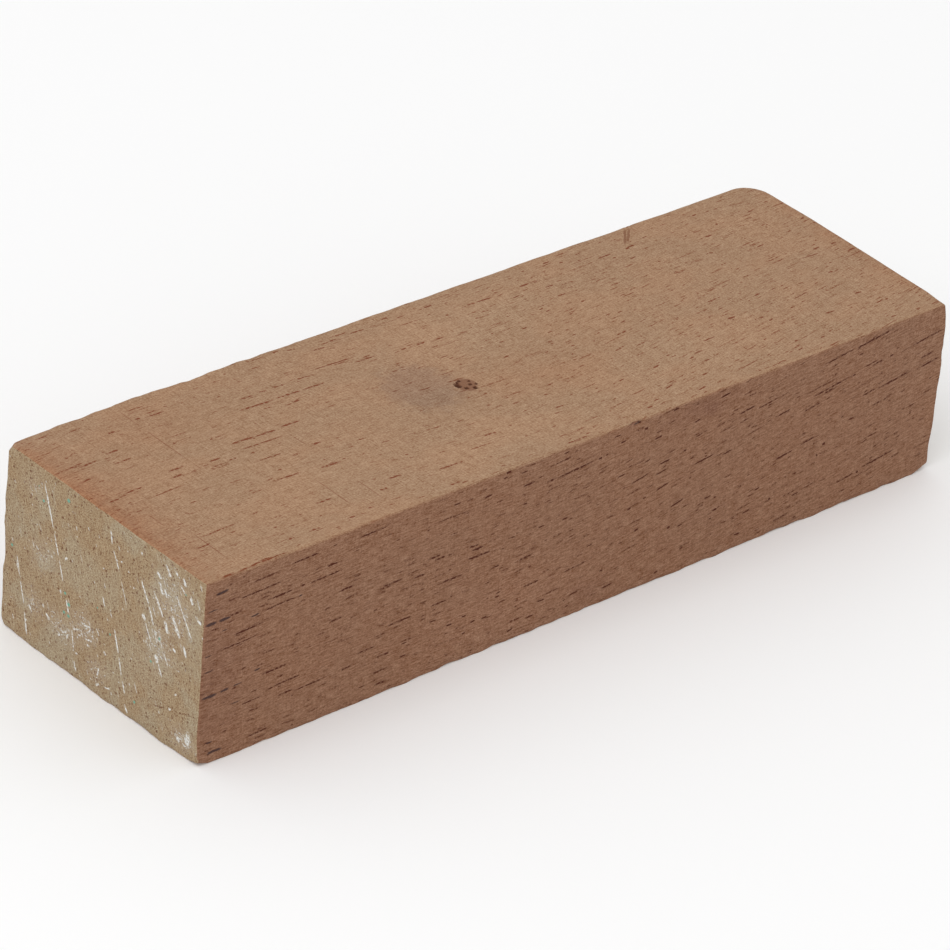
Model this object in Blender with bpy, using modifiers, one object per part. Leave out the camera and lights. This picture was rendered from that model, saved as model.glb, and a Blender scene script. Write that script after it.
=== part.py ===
"""A block of open-pored hardwood with the grain along X, sawn from one piece.

+X runs along the grain to the end with the worn corners, +Y to the back and +Z up.
The block lies on its bottom face. The saw left the other faces slightly out of square.
"""

import bpy
import numpy as np
from mathutils import Matrix

# Sizes in metres, measured half way along the block.
LENGTH = 0.145
WIDTH = 0.045
HEIGHT = 0.0302

# How far each sawn face is out of square, in metres per metre.
TOP_FALL_ALONG_X = 0.010
BACK_CLOSING_ALONG_X = 0.005
RIGHT_END_ALONG_Y = 0.006
RIGHT_END_ALONG_Z = 0.003
LEFT_END_ALONG_Y = -0.006
LEFT_END_ALONG_Z = -0.004

# The back right corner is rounded in plan, and every other edge is eased.
CORNER_RADIUS = 0.0042
CORNER_SEGMENTS = 7
EASED_EDGE = 0.0006
EASED_SEGMENTS = 3
SHARP_ANGLE = 0.7

WOOD_COLOUR = (0.30, 0.175, 0.108, 1.0)
WOOD_ROUGHNESS = 0.62


def clear_scene():
    for obj in list(bpy.data.objects):
        bpy.data.objects.remove(obj, do_unlink=True)


def sawn_faces():
    """Each face as its outward direction and the distance of its plane from the origin."""
    half_length = LENGTH / 2
    half_width = WIDTH / 2
    half_height = HEIGHT / 2
    end_lean_right = half_length - RIGHT_END_ALONG_Z * half_height
    end_lean_left = -half_length - LEFT_END_ALONG_Z * half_height
    return {
        "bottom": ((0.0, 0.0, 1.0), 0.0),
        "top": ((TOP_FALL_ALONG_X, 0.0, 1.0), HEIGHT),
        "front": ((0.0, 1.0, 0.0), -half_width),
        "back": ((BACK_CLOSING_ALONG_X, 1.0, 0.0), half_width),
        "left": ((1.0, -LEFT_END_ALONG_Y, -LEFT_END_ALONG_Z), end_lean_left),
        "right": ((1.0, -RIGHT_END_ALONG_Y, -RIGHT_END_ALONG_Z), end_lean_right),
    }


def corner_of(faces, end, side, level):
    """The point where three faces meet."""
    rows = [faces[name][0] for name in (end, side, level)]
    distances = [faces[name][1] for name in (end, side, level)]
    return np.linalg.solve(np.array(rows), np.array(distances))


def is_rounded_corner(first, second):
    """True for the upright edge at the back of the right end of the unit cube."""
    at_right = first[0] > 0 and second[0] > 0
    at_back = first[1] > 0 and second[1] > 0
    return at_right and at_back


def wood_material():
    material = bpy.data.materials.new("hardwood")
    material.use_nodes = True
    shader = material.node_tree.nodes["Principled BSDF"]
    shader.inputs["Base Color"].default_value = WOOD_COLOUR
    shader.inputs["Roughness"].default_value = WOOD_ROUGHNESS
    return material


def add_block():
    bpy.ops.mesh.primitive_cube_add(size=2.0)
    block = bpy.context.object
    block.name = "hardwood_block"
    block.data.name = "hardwood_block"
    mesh = block.data

    signs = [tuple(vertex.co) for vertex in mesh.vertices]
    weights = mesh.attributes.new("bevel_weight_edge", "FLOAT", "EDGE")
    for edge in mesh.edges:
        first, second = edge.vertices
        rounded = is_rounded_corner(signs[first], signs[second])
        weights.data[edge.index].value = 1.0 if rounded else 0.0

    faces = sawn_faces()
    for vertex, sign in zip(mesh.vertices, signs):
        end = "right" if sign[0] > 0 else "left"
        side = "back" if sign[1] > 0 else "front"
        level = "top" if sign[2] > 0 else "bottom"
        vertex.co = corner_of(faces, end, side, level)

    corner = block.modifiers.new("rounded_corner", "BEVEL")
    corner.limit_method = "WEIGHT"
    corner.width = CORNER_RADIUS
    corner.segments = CORNER_SEGMENTS

    eased = block.modifiers.new("eased_edges", "BEVEL")
    eased.limit_method = "ANGLE"
    eased.angle_limit = SHARP_ANGLE
    eased.width = EASED_EDGE
    eased.segments = EASED_SEGMENTS
    eased.use_clamp_overlap = False
    mesh.materials.append(wood_material())
    return block


def centre_on_origin(block):
    """Moves the mesh so that the middle of the finished block's footprint is the origin."""
    graph = bpy.context.evaluated_depsgraph_get()
    corners = np.array(block.evaluated_get(graph).bound_box)
    low = corners.min(axis=0)
    high = corners.max(axis=0)
    middle = (low + high) / 2
    block.data.transform(Matrix.Translation((-middle[0], -middle[1], -low[2])))


def place_in_collection(block):
    collection = bpy.data.collections.new("hardwood_block")
    bpy.context.scene.collection.children.link(collection)
    for old in list(block.users_collection):
        old.objects.unlink(block)
    collection.objects.link(block)


clear_scene()
hardwood_block = add_block()
centre_on_origin(hardwood_block)
place_in_collection(hardwood_block)
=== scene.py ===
"""Builds a worn block of open-pored hardwood on a pale studio floor.

The block is cut, eased and dented as on a bench, and its wood is made of node groups that know
which way the grain runs. Face places in the lists below are millimetres: along the block from its
left end, then down the face from its back or top edge.
"""

import math

import bmesh
import bpy
import numpy as np
from bpy.props import FloatProperty, FloatVectorProperty, PointerProperty
from mathutils import Matrix, Vector


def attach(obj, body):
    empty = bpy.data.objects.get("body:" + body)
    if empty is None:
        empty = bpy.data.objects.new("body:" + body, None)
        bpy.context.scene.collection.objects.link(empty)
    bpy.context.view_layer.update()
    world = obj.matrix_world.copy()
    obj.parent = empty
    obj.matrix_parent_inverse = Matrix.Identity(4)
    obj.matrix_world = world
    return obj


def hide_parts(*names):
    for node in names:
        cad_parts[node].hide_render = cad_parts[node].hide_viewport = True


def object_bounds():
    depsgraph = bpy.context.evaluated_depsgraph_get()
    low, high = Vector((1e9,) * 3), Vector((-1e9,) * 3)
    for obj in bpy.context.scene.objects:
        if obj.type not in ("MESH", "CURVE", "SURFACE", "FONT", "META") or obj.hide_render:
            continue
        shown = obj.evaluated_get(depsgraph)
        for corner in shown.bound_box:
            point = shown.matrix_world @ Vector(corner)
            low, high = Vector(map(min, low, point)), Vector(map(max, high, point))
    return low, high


bl_info = {
    "name": "Hardwood Block",
    "version": (1, 0, 0),
    "blender": (4, 5, 0),
    "location": "3D View > Sidebar > Hardwood Block",
    "description": "Builds a worn hardwood block with its grain, knot, pores and chalk marks",
    "category": "Add Mesh",
}

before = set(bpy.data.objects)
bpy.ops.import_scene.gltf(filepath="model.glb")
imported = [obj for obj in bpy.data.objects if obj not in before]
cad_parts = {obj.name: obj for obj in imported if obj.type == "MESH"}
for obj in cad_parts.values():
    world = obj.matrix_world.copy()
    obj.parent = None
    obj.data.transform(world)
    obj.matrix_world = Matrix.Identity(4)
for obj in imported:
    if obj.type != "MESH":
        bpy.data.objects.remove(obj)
cad_low, cad_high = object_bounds()

MM = 0.001
PIECE_NAME = "block"
CAD_NODE = "hardwood_block"
LEFT = -72.67
BACK = 22.68
TOP = 30.92


# ---------------------------------------------------------------- settings


class BlockSizes(bpy.types.PropertyGroup):
    """Sizes of the block, measured half way along it."""

    length: FloatProperty(name="Length", description="Along the grain", default=0.145, unit="LENGTH")
    width: FloatProperty(name="Width", description="Front to back", default=0.045, unit="LENGTH")
    height: FloatProperty(name="Height", description="Bottom to top", default=0.0302, unit="LENGTH")
    centre: FloatVectorProperty(
        name="Centre",
        description="Where the middle of the saw cuts lies in the frame",
        default=(0.000023, -0.00018, 0.0),
        subtype="TRANSLATION",
    )
    top_fall: FloatProperty(
        name="Top Fall", description="How much the top drops to the right, per metre", default=0.010
    )
    back_closing: FloatProperty(
        name="Back Closing", description="How much the back closes in to the right, per metre",
        default=0.005
    )
    right_end_slant: FloatVectorProperty(
        name="Right End Slant", description="Slant of the right end along Y and Z", default=(0.006, 0.003),
        size=2
    )
    left_end_slant: FloatVectorProperty(
        name="Left End Slant", description="Slant of the left end along Y and Z", default=(-0.006, -0.004),
        size=2
    )
    corner_radius: FloatProperty(
        name="Corner Radius", description="Rounding of the back right corner", default=0.0042, unit="LENGTH"
    )
    eased_edge: FloatProperty(
        name="Eased Edge", description="Rounding of every other edge", default=0.00032, unit="LENGTH"
    )
    grid: FloatProperty(
        name="Grid", description="Distance between the cuts that the wear is shaped on", default=0.003,
        unit="LENGTH"
    )
    edge_wear: FloatProperty(
        name="Edge Wear", description="Deepest wear along the edges", default=0.0005, unit="LENGTH"
    )
    dent_depth: FloatProperty(
        name="Dent Depth", description="Depth of the deepest pit and notch", default=0.0006, unit="LENGTH"
    )


class WoodColours(bpy.types.PropertyGroup):
    """Colours of the wood and of the marks on it."""

    wide_face: FloatVectorProperty(
        name="Wide Face", description="Top and bottom", default=(0.355, 0.217, 0.129), subtype="COLOR"
    )
    narrow_face: FloatVectorProperty(
        name="Narrow Face", description="Front and back", default=(0.268, 0.137, 0.080), subtype="COLOR"
    )
    end_face: FloatVectorProperty(
        name="End Face", description="End grain", default=(0.350, 0.268, 0.174), subtype="COLOR"
    )
    wide_pore: FloatVectorProperty(
        name="Wide Face Pore", description="Pores on the wide faces", default=(0.19, 0.048, 0.017),
        subtype="COLOR"
    )
    narrow_pore: FloatVectorProperty(
        name="Narrow Face Pore", description="Pores on the narrow faces", default=(0.080, 0.018, 0.007),
        subtype="COLOR"
    )
    end_pore: FloatVectorProperty(
        name="End Pore", description="Pores on the end grain", default=(0.135, 0.045, 0.017),
        subtype="COLOR"
    )
    ink_stain: FloatVectorProperty(
        name="Ink Stain", description="Stained pores near the left end", default=(0.050, 0.026, 0.026),
        subtype="COLOR"
    )
    knot: FloatVectorProperty(
        name="Knot", description="Bottom of the knot's pits", default=(0.085, 0.026, 0.012), subtype="COLOR"
    )
    halo: FloatVectorProperty(
        name="Halo", description="Grey stain beside the knot, as a tint over the wood",
        default=(0.83, 0.84, 0.90), subtype="COLOR"
    )
    red_patch: FloatVectorProperty(
        name="Red Patch", description="Redder wood, as a tint over the wood", default=(0.95, 0.84, 0.78),
        subtype="COLOR"
    )
    chalk: FloatVectorProperty(
        name="Chalk", description="Scratches and scuffs on the ends", default=(0.74, 0.74, 0.71),
        subtype="COLOR"
    )
    fleck: FloatVectorProperty(
        name="Fleck", description="Green specks on the left end", default=(0.16, 0.36, 0.27),
        subtype="COLOR"
    )


class StageSettings(bpy.types.PropertyGroup):
    """The camera, the floor and the lights."""

    camera_place: FloatVectorProperty(
        name="Camera Place", description="Where the camera stands",
        default=(-0.567441, -0.599216, 0.521116), subtype="TRANSLATION"
    )
    camera_aim: FloatVectorProperty(
        name="Camera Direction", description="Which way the camera looks",
        default=(0.584211, 0.618813, -0.525135), subtype="XYZ"
    )
    camera_roll: FloatProperty(
        name="Camera Roll", description="Tilt of the camera", default=math.radians(5.1248), subtype="ANGLE"
    )
    lens: FloatProperty(name="Lens", description="Focal length in millimetres", default=245.693)
    floor_colour: FloatVectorProperty(
        name="Floor", description="Floor colour", default=(0.96, 0.96, 0.96), subtype="COLOR"
    )
    room_light: FloatProperty(
        name="Room Light", description="Strength of the light from all round", default=0.85
    )
    key_power: FloatProperty(name="Key Light", description="Power of the large soft light", default=6.6)


# ---------------------------------------------------------------- pores, marks and dents, in millimetres

# Along is measured from the left end. Down is measured from the back edge on the top, and from the
# top edge on the front.

# Each pore line: start along, start down, end along, end down, width, how dark (0 to 1).
TOP_PORES = (
    (33.5, 11.45, 40.2, 11.3, 0.3, 1.0), (40.2, 11.3, 45.0, 11.6, 0.26, 0.9),
    (45.2, 11.6, 49.4, 11.7, 0.26, 0.8), (26.7, 17.85, 30.9, 17.9, 0.32, 1.0),
    (30.9, 18.1, 34.8, 18.2, 0.26, 0.8), (35.6, 18.0, 39.4, 18.1, 0.32, 1.0),
    (14.4, 18.7, 17.2, 19.0, 0.32, 0.9), (26.7, 19.9, 35.0, 20.0, 0.2, 0.6),
    (21.1, 19.9, 23.0, 19.9, 0.28, 0.8), (20.5, 21.3, 22.6, 21.4, 0.26, 0.8),
    (23.7, 21.2, 25.0, 21.1, 0.28, 0.8), (2.2, 20.8, 3.9, 20.8, 0.3, 0.9),
    (5.6, 20.1, 8.9, 20.1, 0.26, 0.7), (13.5, 20.6, 15.6, 20.4, 0.28, 0.7),
    (9.7, 10.25, 12.0, 10.15, 0.32, 1.0), (4.4, 11.1, 7.4, 10.85, 0.28, 0.9),
    (2.2, 10.7, 5.0, 10.2, 0.24, 0.6), (9.2, 13.0, 12.2, 13.0, 0.28, 0.7),
    (1.7, 14.3, 4.3, 14.3, 0.26, 0.6), (19.3, 4.9, 20.2, 4.9, 0.3, 0.8), (20.7, 5.3, 24.4, 5.3, 0.22, 0.5),
    (13.6, 5.9, 14.7, 5.9, 0.34, 0.9), (35.6, 8.8, 38.1, 8.8, 0.24, 0.8),
    (39.4, 8.75, 40.7, 8.75, 0.24, 0.8), (41.7, 8.8, 44.6, 8.8, 0.22, 0.7),
    (46.5, 8.85, 48.3, 8.85, 0.28, 0.9), (50.2, 8.2, 57.8, 8.1, 0.22, 0.6),
    (41.7, 13.5, 43.0, 13.5, 0.3, 0.8), (53.5, 3.75, 55.9, 3.75, 0.26, 0.7),
    (57.4, 2.9, 59.3, 2.9, 0.24, 0.6), (61.1, 2.8, 64.3, 2.85, 0.24, 0.6),
    (68.3, 2.1, 69.3, 2.1, 0.28, 0.8), (57.0, 9.8, 61.0, 9.8, 0.22, 0.6),
    (65.2, 10.5, 66.1, 10.5, 0.28, 0.8), (68.0, 10.7, 69.6, 10.7, 0.28, 0.8),
    (70.4, 10.9, 73.0, 11.2, 0.24, 0.7), (26.7, 23.6, 31.5, 23.7, 0.22, 0.6),
    (36.5, 24.3, 38.1, 24.4, 0.34, 0.8), (25.3, 29.0, 30.7, 29.4, 0.28, 0.9),
    (33.5, 29.75, 37.3, 30.4, 0.28, 0.9), (26.7, 37.2, 29.6, 37.2, 0.24, 0.7),
    (39.8, 37.5, 42.2, 37.8, 0.28, 0.8), (36.9, 39.3, 38.1, 39.4, 0.32, 0.9),
    (47.6, 39.5, 52.4, 40.0, 0.24, 0.7), (5.0, 37.2, 7.4, 37.2, 0.26, 0.7),
    (17.4, 42.4, 18.3, 42.4, 0.34, 0.9), (21.1, 42.4, 23.2, 42.4, 0.3, 0.8),
    (28.0, 42.7, 29.4, 42.7, 0.28, 0.8), (32.4, 42.2, 33.3, 42.2, 0.32, 1.0),
    (46.3, 43.6, 48.5, 44.1, 0.26, 0.7), (3.0, 45.1, 5.4, 45.1, 0.34, 0.8),
    (10.2, 44.8, 12.0, 44.8, 0.36, 1.0), (5.4, 45.1, 16.0, 45.1, 0.24, 0.6),
    (59.3, 35.9, 61.7, 36.5, 0.26, 0.6), (68.0, 44.4, 72.6, 44.4, 0.22, 0.6),
)

# Short open pores of the top: start along and down, end along and down, width, how dark.
TOP_DASHES = (
    (75.9, 2.9, 77.6, 2.9, 0.3, 0.9), (83.7, 5.85, 87.0, 6.05, 0.3, 0.9), (92.5, 5.9, 94.4, 5.9, 0.32, 1.0),
    (89.4, 7.85, 90.9, 7.85, 0.26, 0.8), (95.7, 8.2, 97.4, 8.2, 0.28, 0.8),
    (100.1, 2.6, 101.6, 2.4, 0.26, 0.8), (102.6, 3.7, 103.2, 3.7, 0.3, 0.9),
    (108.5, 5.8, 111.3, 5.8, 0.26, 0.9), (112.7, 8.6, 114.0, 8.5, 0.28, 0.9),
    (114.8, 5.65, 116.1, 5.65, 0.26, 0.8), (130.0, 3.7, 130.9, 3.7, 0.3, 0.9),
    (131.4, 7.7, 131.7, 7.7, 0.32, 1.0), (127.2, 9.8, 128.7, 9.8, 0.32, 0.9),
    (138.3, 7.5, 139.4, 7.5, 0.3, 0.8), (95.5, 11.2, 97.2, 11.2, 0.3, 0.9),
    (90.5, 12.8, 91.3, 12.7, 0.28, 0.8), (90.9, 13.7, 92.0, 13.7, 0.26, 0.7),
    (84.5, 15.7, 85.4, 15.7, 0.3, 0.9), (78.9, 16.9, 79.8, 16.9, 0.26, 0.7),
    (76.6, 20.6, 77.4, 20.6, 0.3, 0.8), (98.3, 22.4, 99.6, 22.2, 0.24, 0.6),
    (96.6, 24.7, 97.5, 24.6, 0.32, 0.9), (113.1, 30.4, 114.5, 30.4, 0.38, 1.0),
    (93.7, 35.0, 94.9, 34.9, 0.34, 1.0), (105.3, 33.3, 107.9, 33.2, 0.28, 0.8),
    (118.1, 34.2, 119.0, 34.0, 0.3, 0.9), (117.2, 32.8, 118.3, 32.8, 0.24, 0.7),
    (121.4, 27.4, 122.4, 27.2, 0.3, 0.9), (125.3, 31.5, 129.8, 30.8, 0.22, 0.6),
    (132.0, 16.4, 133.5, 16.4, 0.28, 0.8), (139.0, 21.7, 140.3, 21.7, 0.34, 0.9),
    (135.3, 22.8, 138.9, 23.0, 0.22, 0.6), (136.0, 28.3, 136.9, 28.3, 0.34, 0.9),
    (100.1, 36.0, 101.1, 35.9, 0.28, 0.8), (101.6, 35.3, 103.5, 35.2, 0.24, 0.7),
    (101.6, 37.7, 102.6, 37.7, 0.28, 0.8), (91.1, 40.6, 92.9, 40.2, 0.28, 0.9),
    (98.6, 40.7, 99.5, 40.5, 0.28, 0.9), (117.2, 40.8, 117.9, 40.8, 0.28, 0.8),
    (115.9, 43.1, 117.0, 42.8, 0.26, 0.8), (121.3, 42.2, 122.2, 42.2, 0.28, 0.8),
    (126.9, 37.2, 128.9, 37.4, 0.28, 0.8), (135.0, 35.3, 136.4, 35.3, 0.3, 0.9),
    (134.8, 43.5, 135.9, 43.5, 0.28, 0.8), (85.1, 43.3, 86.1, 43.2, 0.32, 1.0),
    (87.2, 42.3, 88.3, 42.2, 0.28, 0.7), (95.0, 43.6, 96.8, 43.3, 0.3, 0.9),
    (73.3, 35.8, 75.3, 35.9, 0.26, 0.7), (97.7, 33.6, 98.3, 33.4, 0.28, 0.8),
    (142.6, 22.0, 143.3, 21.8, 0.28, 0.7), (143.3, 24.9, 145.0, 24.9, 0.32, 0.9),
    (143.9, 13.6, 145.0, 13.4, 0.26, 0.7), (137.9, 39.1, 138.3, 39.1, 0.32, 0.9),
)

FRONT_PORES = (
    (15.6, 2.25, 20.8, 1.9, 0.26, 1.0), (28.3, 2.0, 33.5, 2.25, 0.22, 0.7), (6.4, 4.8, 14.4, 4.3, 0.2, 0.6),
    (22.5, 4.95, 24.4, 4.95, 0.24, 0.7), (11.5, 6.7, 16.3, 6.7, 0.24, 1.0),
    (19.3, 6.6, 25.5, 6.6, 0.2, 0.7), (5.0, 6.9, 7.0, 6.8, 0.26, 0.9), (11.0, 8.2, 17.5, 8.2, 0.18, 0.5),
    (5.4, 10.45, 11.5, 10.25, 0.22, 0.7), (3.5, 12.2, 9.6, 12.1, 0.2, 0.5),
    (25.0, 10.15, 28.0, 10.1, 0.24, 0.8), (33.4, 12.35, 37.0, 12.35, 0.26, 0.9),
    (39.3, 13.05, 41.4, 13.05, 0.22, 0.5), (41.7, 10.8, 44.1, 10.8, 0.26, 0.9),
    (43.1, 11.35, 45.0, 11.35, 0.22, 0.6), (23.6, 14.85, 26.0, 14.85, 0.24, 0.8),
    (44.9, 15.75, 48.8, 15.95, 0.3, 1.0), (49.7, 11.6, 51.5, 11.6, 0.24, 0.7),
    (50.3, 12.25, 52.5, 12.25, 0.24, 0.8), (49.5, 13.45, 54.0, 13.75, 0.28, 1.0),
    (11.5, 19.35, 16.2, 19.15, 0.26, 1.0), (35.0, 19.55, 39.8, 19.75, 0.24, 0.8),
    (42.9, 19.1, 46.3, 19.4, 0.2, 0.5), (13.9, 22.1, 18.8, 22.1, 0.22, 0.8),
    (8.1, 23.1, 11.7, 23.1, 0.2, 0.5), (14.8, 24.1, 17.7, 24.1, 0.28, 1.0),
    (17.7, 24.4, 23.0, 24.4, 0.18, 0.4), (29.2, 22.4, 32.9, 22.4, 0.24, 0.8),
    (26.7, 24.2, 28.5, 24.1, 0.28, 0.9), (33.3, 24.5, 35.6, 24.5, 0.3, 1.0),
    (61.3, 22.3, 64.2, 22.55, 0.22, 0.7), (69.2, 22.8, 73.7, 22.4, 0.22, 0.7),
    (63.9, 5.3, 66.0, 5.3, 0.24, 0.8), (66.0, 5.2, 73.3, 4.9, 0.26, 0.9), (59.3, 4.4, 61.6, 4.4, 0.24, 0.8),
    (65.4, 2.65, 68.7, 2.6, 0.24, 0.9), (60.0, 17.25, 62.3, 17.3, 0.2, 0.5),
    (9.4, 29.0, 13.1, 28.8, 0.22, 0.7), (33.1, 29.05, 35.2, 29.05, 0.24, 0.8),
    (102.5, 6.75, 105.8, 6.2, 0.26, 0.9), (102.7, 8.35, 104.8, 8.1, 0.24, 0.8),
    (120.0, 3.7, 125.8, 3.1, 0.2, 0.6), (125.8, 3.1, 134.0, 2.15, 0.26, 0.9),
    (138.3, 6.6, 144.6, 5.85, 0.26, 0.9), (130.0, 7.4, 132.1, 7.2, 0.26, 0.9),
    (117.7, 8.85, 126.2, 7.85, 0.24, 0.8), (110.2, 9.9, 113.3, 9.5, 0.22, 0.6),
    (120.2, 9.0, 122.9, 8.8, 0.22, 0.6), (116.2, 10.9, 119.6, 10.55, 0.22, 0.7),
    (140.6, 9.5, 143.3, 9.3, 0.22, 0.7), (128.7, 12.3, 131.3, 12.0, 0.22, 0.7),
    (131.3, 12.0, 139.0, 11.35, 0.28, 1.0), (140.5, 11.2, 144.6, 10.8, 0.24, 0.9),
    (131.0, 14.85, 133.1, 14.7, 0.26, 0.9), (133.5, 14.6, 134.8, 14.4, 0.28, 0.9),
    (111.2, 17.7, 114.8, 17.35, 0.26, 0.9), (116.2, 16.8, 119.2, 16.5, 0.2, 0.5),
    (125.0, 26.6, 128.7, 26.4, 0.22, 0.6), (130.2, 25.6, 137.3, 25.0, 0.24, 0.7),
    (112.1, 28.9, 115.2, 28.7, 0.24, 0.8),
)

# Short open pores of the front, given the same way.
FRONT_DASHES = (
    (45.9, 2.95, 47.3, 2.95, 0.28, 0.8), (51.8, 3.8, 53.3, 3.7, 0.3, 0.9),
    (55.7, 0.9, 56.6, 0.85, 0.36, 0.9), (55.2, 1.7, 56.1, 1.7, 0.26, 0.7),
    (58.6, 1.95, 60.0, 1.95, 0.24, 0.6), (67.0, 1.5, 68.0, 1.4, 0.26, 0.7),
    (74.1, 4.8, 74.7, 4.8, 0.32, 0.9), (17.9, 6.55, 18.4, 6.55, 0.32, 1.0),
    (59.8, 7.65, 60.4, 7.65, 0.3, 0.8), (32.0, 16.0, 32.7, 16.0, 0.24, 0.6),
    (57.3, 12.7, 58.8, 12.8, 0.22, 0.5), (63.1, 12.9, 64.3, 12.9, 0.28, 0.8),
    (67.8, 13.15, 68.9, 13.1, 0.3, 0.8), (55.0, 16.8, 56.0, 16.8, 0.26, 0.7),
    (37.8, 23.9, 39.0, 23.9, 0.24, 0.6), (42.9, 22.05, 44.6, 22.05, 0.24, 0.6),
    (46.5, 23.95, 47.5, 23.9, 0.3, 0.9), (49.4, 23.4, 50.2, 23.5, 0.32, 0.9),
    (55.7, 22.3, 56.5, 22.3, 0.3, 0.8), (55.8, 21.7, 56.7, 21.6, 0.26, 0.7),
    (64.2, 26.2, 65.8, 26.2, 0.28, 0.8), (51.2, 25.0, 52.1, 25.0, 0.28, 0.8),
    (53.3, 25.15, 54.4, 25.15, 0.28, 0.8), (37.7, 26.1, 39.0, 26.1, 0.26, 0.7),
    (49.7, 26.5, 50.3, 26.5, 0.3, 0.8), (62.1, 28.3, 63.7, 28.1, 0.26, 0.7),
    (58.5, 29.3, 59.6, 29.1, 0.26, 0.8), (76.7, 2.1, 78.3, 2.0, 0.24, 0.6),
    (78.3, 3.5, 79.2, 3.4, 0.32, 0.9), (83.0, 2.75, 83.5, 2.7, 0.4, 1.0),
    (81.7, 1.35, 82.2, 1.35, 0.32, 0.8), (88.5, 1.4, 89.6, 1.3, 0.32, 0.9),
    (98.1, 2.4, 100.1, 2.1, 0.3, 1.0), (85.2, 5.25, 86.7, 5.1, 0.3, 0.9), (93.1, 5.0, 94.4, 4.8, 0.28, 0.8),
    (86.5, 10.15, 89.0, 9.9, 0.26, 0.8), (78.1, 9.5, 80.0, 9.35, 0.24, 0.7),
    (81.0, 11.7, 85.1, 10.9, 0.24, 0.8), (86.0, 11.85, 88.7, 11.4, 0.24, 0.7),
    (83.5, 8.75, 84.8, 8.5, 0.24, 0.7), (86.5, 14.7, 89.2, 14.05, 0.26, 0.9),
    (91.5, 9.4, 92.0, 9.4, 0.32, 0.8), (93.8, 12.7, 98.3, 12.1, 0.26, 0.9),
    (99.6, 12.9, 101.9, 12.7, 0.26, 0.8), (81.0, 16.1, 81.7, 16.0, 0.32, 0.8),
    (84.0, 15.2, 84.7, 15.1, 0.28, 0.7), (89.8, 18.75, 92.6, 18.1, 0.28, 1.0),
    (96.9, 19.7, 98.3, 19.6, 0.28, 0.9), (121.2, 18.4, 121.6, 18.4, 0.44, 1.0),
    (82.9, 20.45, 83.7, 20.35, 0.3, 0.9), (89.8, 22.35, 90.2, 22.3, 0.4, 1.0),
    (91.8, 22.85, 92.9, 22.75, 0.28, 0.8), (99.0, 22.5, 99.8, 22.5, 0.34, 1.0),
    (99.0, 20.2, 99.3, 20.2, 0.34, 0.9), (98.4, 23.8, 98.8, 23.8, 0.3, 0.8),
    (107.6, 21.9, 108.5, 21.7, 0.32, 0.9), (110.8, 24.6, 111.1, 24.6, 0.36, 0.9),
    (105.4, 25.3, 107.0, 25.1, 0.28, 0.9), (115.6, 25.7, 117.2, 25.6, 0.26, 0.8),
    (120.1, 19.9, 120.3, 20.2, 0.32, 0.9), (129.4, 26.3, 129.7, 26.2, 0.36, 1.0),
    (104.0, 28.6, 105.2, 28.6, 0.3, 0.9), (77.1, 28.5, 79.5, 28.3, 0.26, 0.8),
    (76.6, 25.3, 77.1, 25.3, 0.28, 0.8), (87.7, 29.6, 88.5, 29.4, 0.3, 0.8),
    (73.3, 19.8, 74.6, 19.7, 0.24, 0.7), (133.7, 7.0, 134.4, 6.9, 0.3, 0.8),
    (126.1, 7.9, 126.5, 7.8, 0.34, 0.9),
)

# Pores near the left end of the front that took up ink.
INKED_PORES = (
    (0.5, 7.05, 2.5, 7.1, 0.5, 1.0), (2.9, 7.1, 5.0, 7.1, 0.44, 1.0), (2.1, 2.45, 4.4, 2.3, 0.44, 0.9),
    (8.7, 8.5, 10.4, 8.45, 0.36, 0.8), (17.6, 8.2, 18.1, 8.2, 0.36, 0.6),
    (10.1, 18.15, 11.2, 18.05, 0.34, 0.8), (0.6, 19.5, 3.4, 19.5, 0.46, 1.0),
    (3.9, 19.45, 5.6, 19.35, 0.38, 0.8), (6.0, 19.3, 8.2, 19.2, 0.26, 0.5),
    (0.5, 15.2, 2.7, 15.1, 0.28, 0.5), (0.5, 12.4, 2.1, 12.4, 0.28, 0.5), (0.4, 4.95, 2.9, 4.9, 0.26, 0.5),
    (3.5, 9.0, 4.6, 9.0, 0.26, 0.5), (1.9, 29.1, 4.8, 29.1, 0.42, 0.9), (1.7, 27.4, 3.1, 27.4, 0.28, 0.6),
    (5.8, 22.3, 8.0, 22.3, 0.24, 0.4),
)

# Scratches across the top: start along and down, end along and down, width, how dark.
TOP_CROSS_MARKS = (
    (18.7, 0.6, 18.7, 7.5, 0.18, 0.5), (18.7, 7.5, 18.8, 18.5, 0.22, 0.9),
    (18.8, 18.5, 18.9, 21.3, 0.18, 0.6), (30.8, 31.0, 30.9, 41.0, 0.2, 0.8),
    (35.6, 20.2, 35.9, 24.3, 0.22, 0.5), (35.8, 34.5, 35.9, 42.2, 0.2, 0.6),
    (7.0, 33.0, 7.0, 42.0, 0.26, 0.6), (4.8, 25.5, 4.8, 31.0, 0.2, 0.5),
)

# The double scratch at the back edge of the top: start along and down, end along and down, width, how dark.
TOP_SCRATCH = (
    (118.4, 1.0, 114.9, 5.0, 0.45, 0.9), (119.1, 1.2, 115.7, 4.7, 0.45, 0.8),
)

# Brighter parts of the top: middle, reach, strength.
TOP_BRIGHT_PATCHES = (
    ((77.0, 10.0, 0.0), (26.0, 11.0, 1.0), 1.0), ((60.0, 38.0, 0.0), (24.0, 9.0, 1.0), 0.8),
    ((101.0, 34.0, 0.0), (22.0, 11.0, 1.0), 0.8), ((33.0, 31.0, 0.0), (14.0, 8.0, 1.0), 0.5),
)

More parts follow.
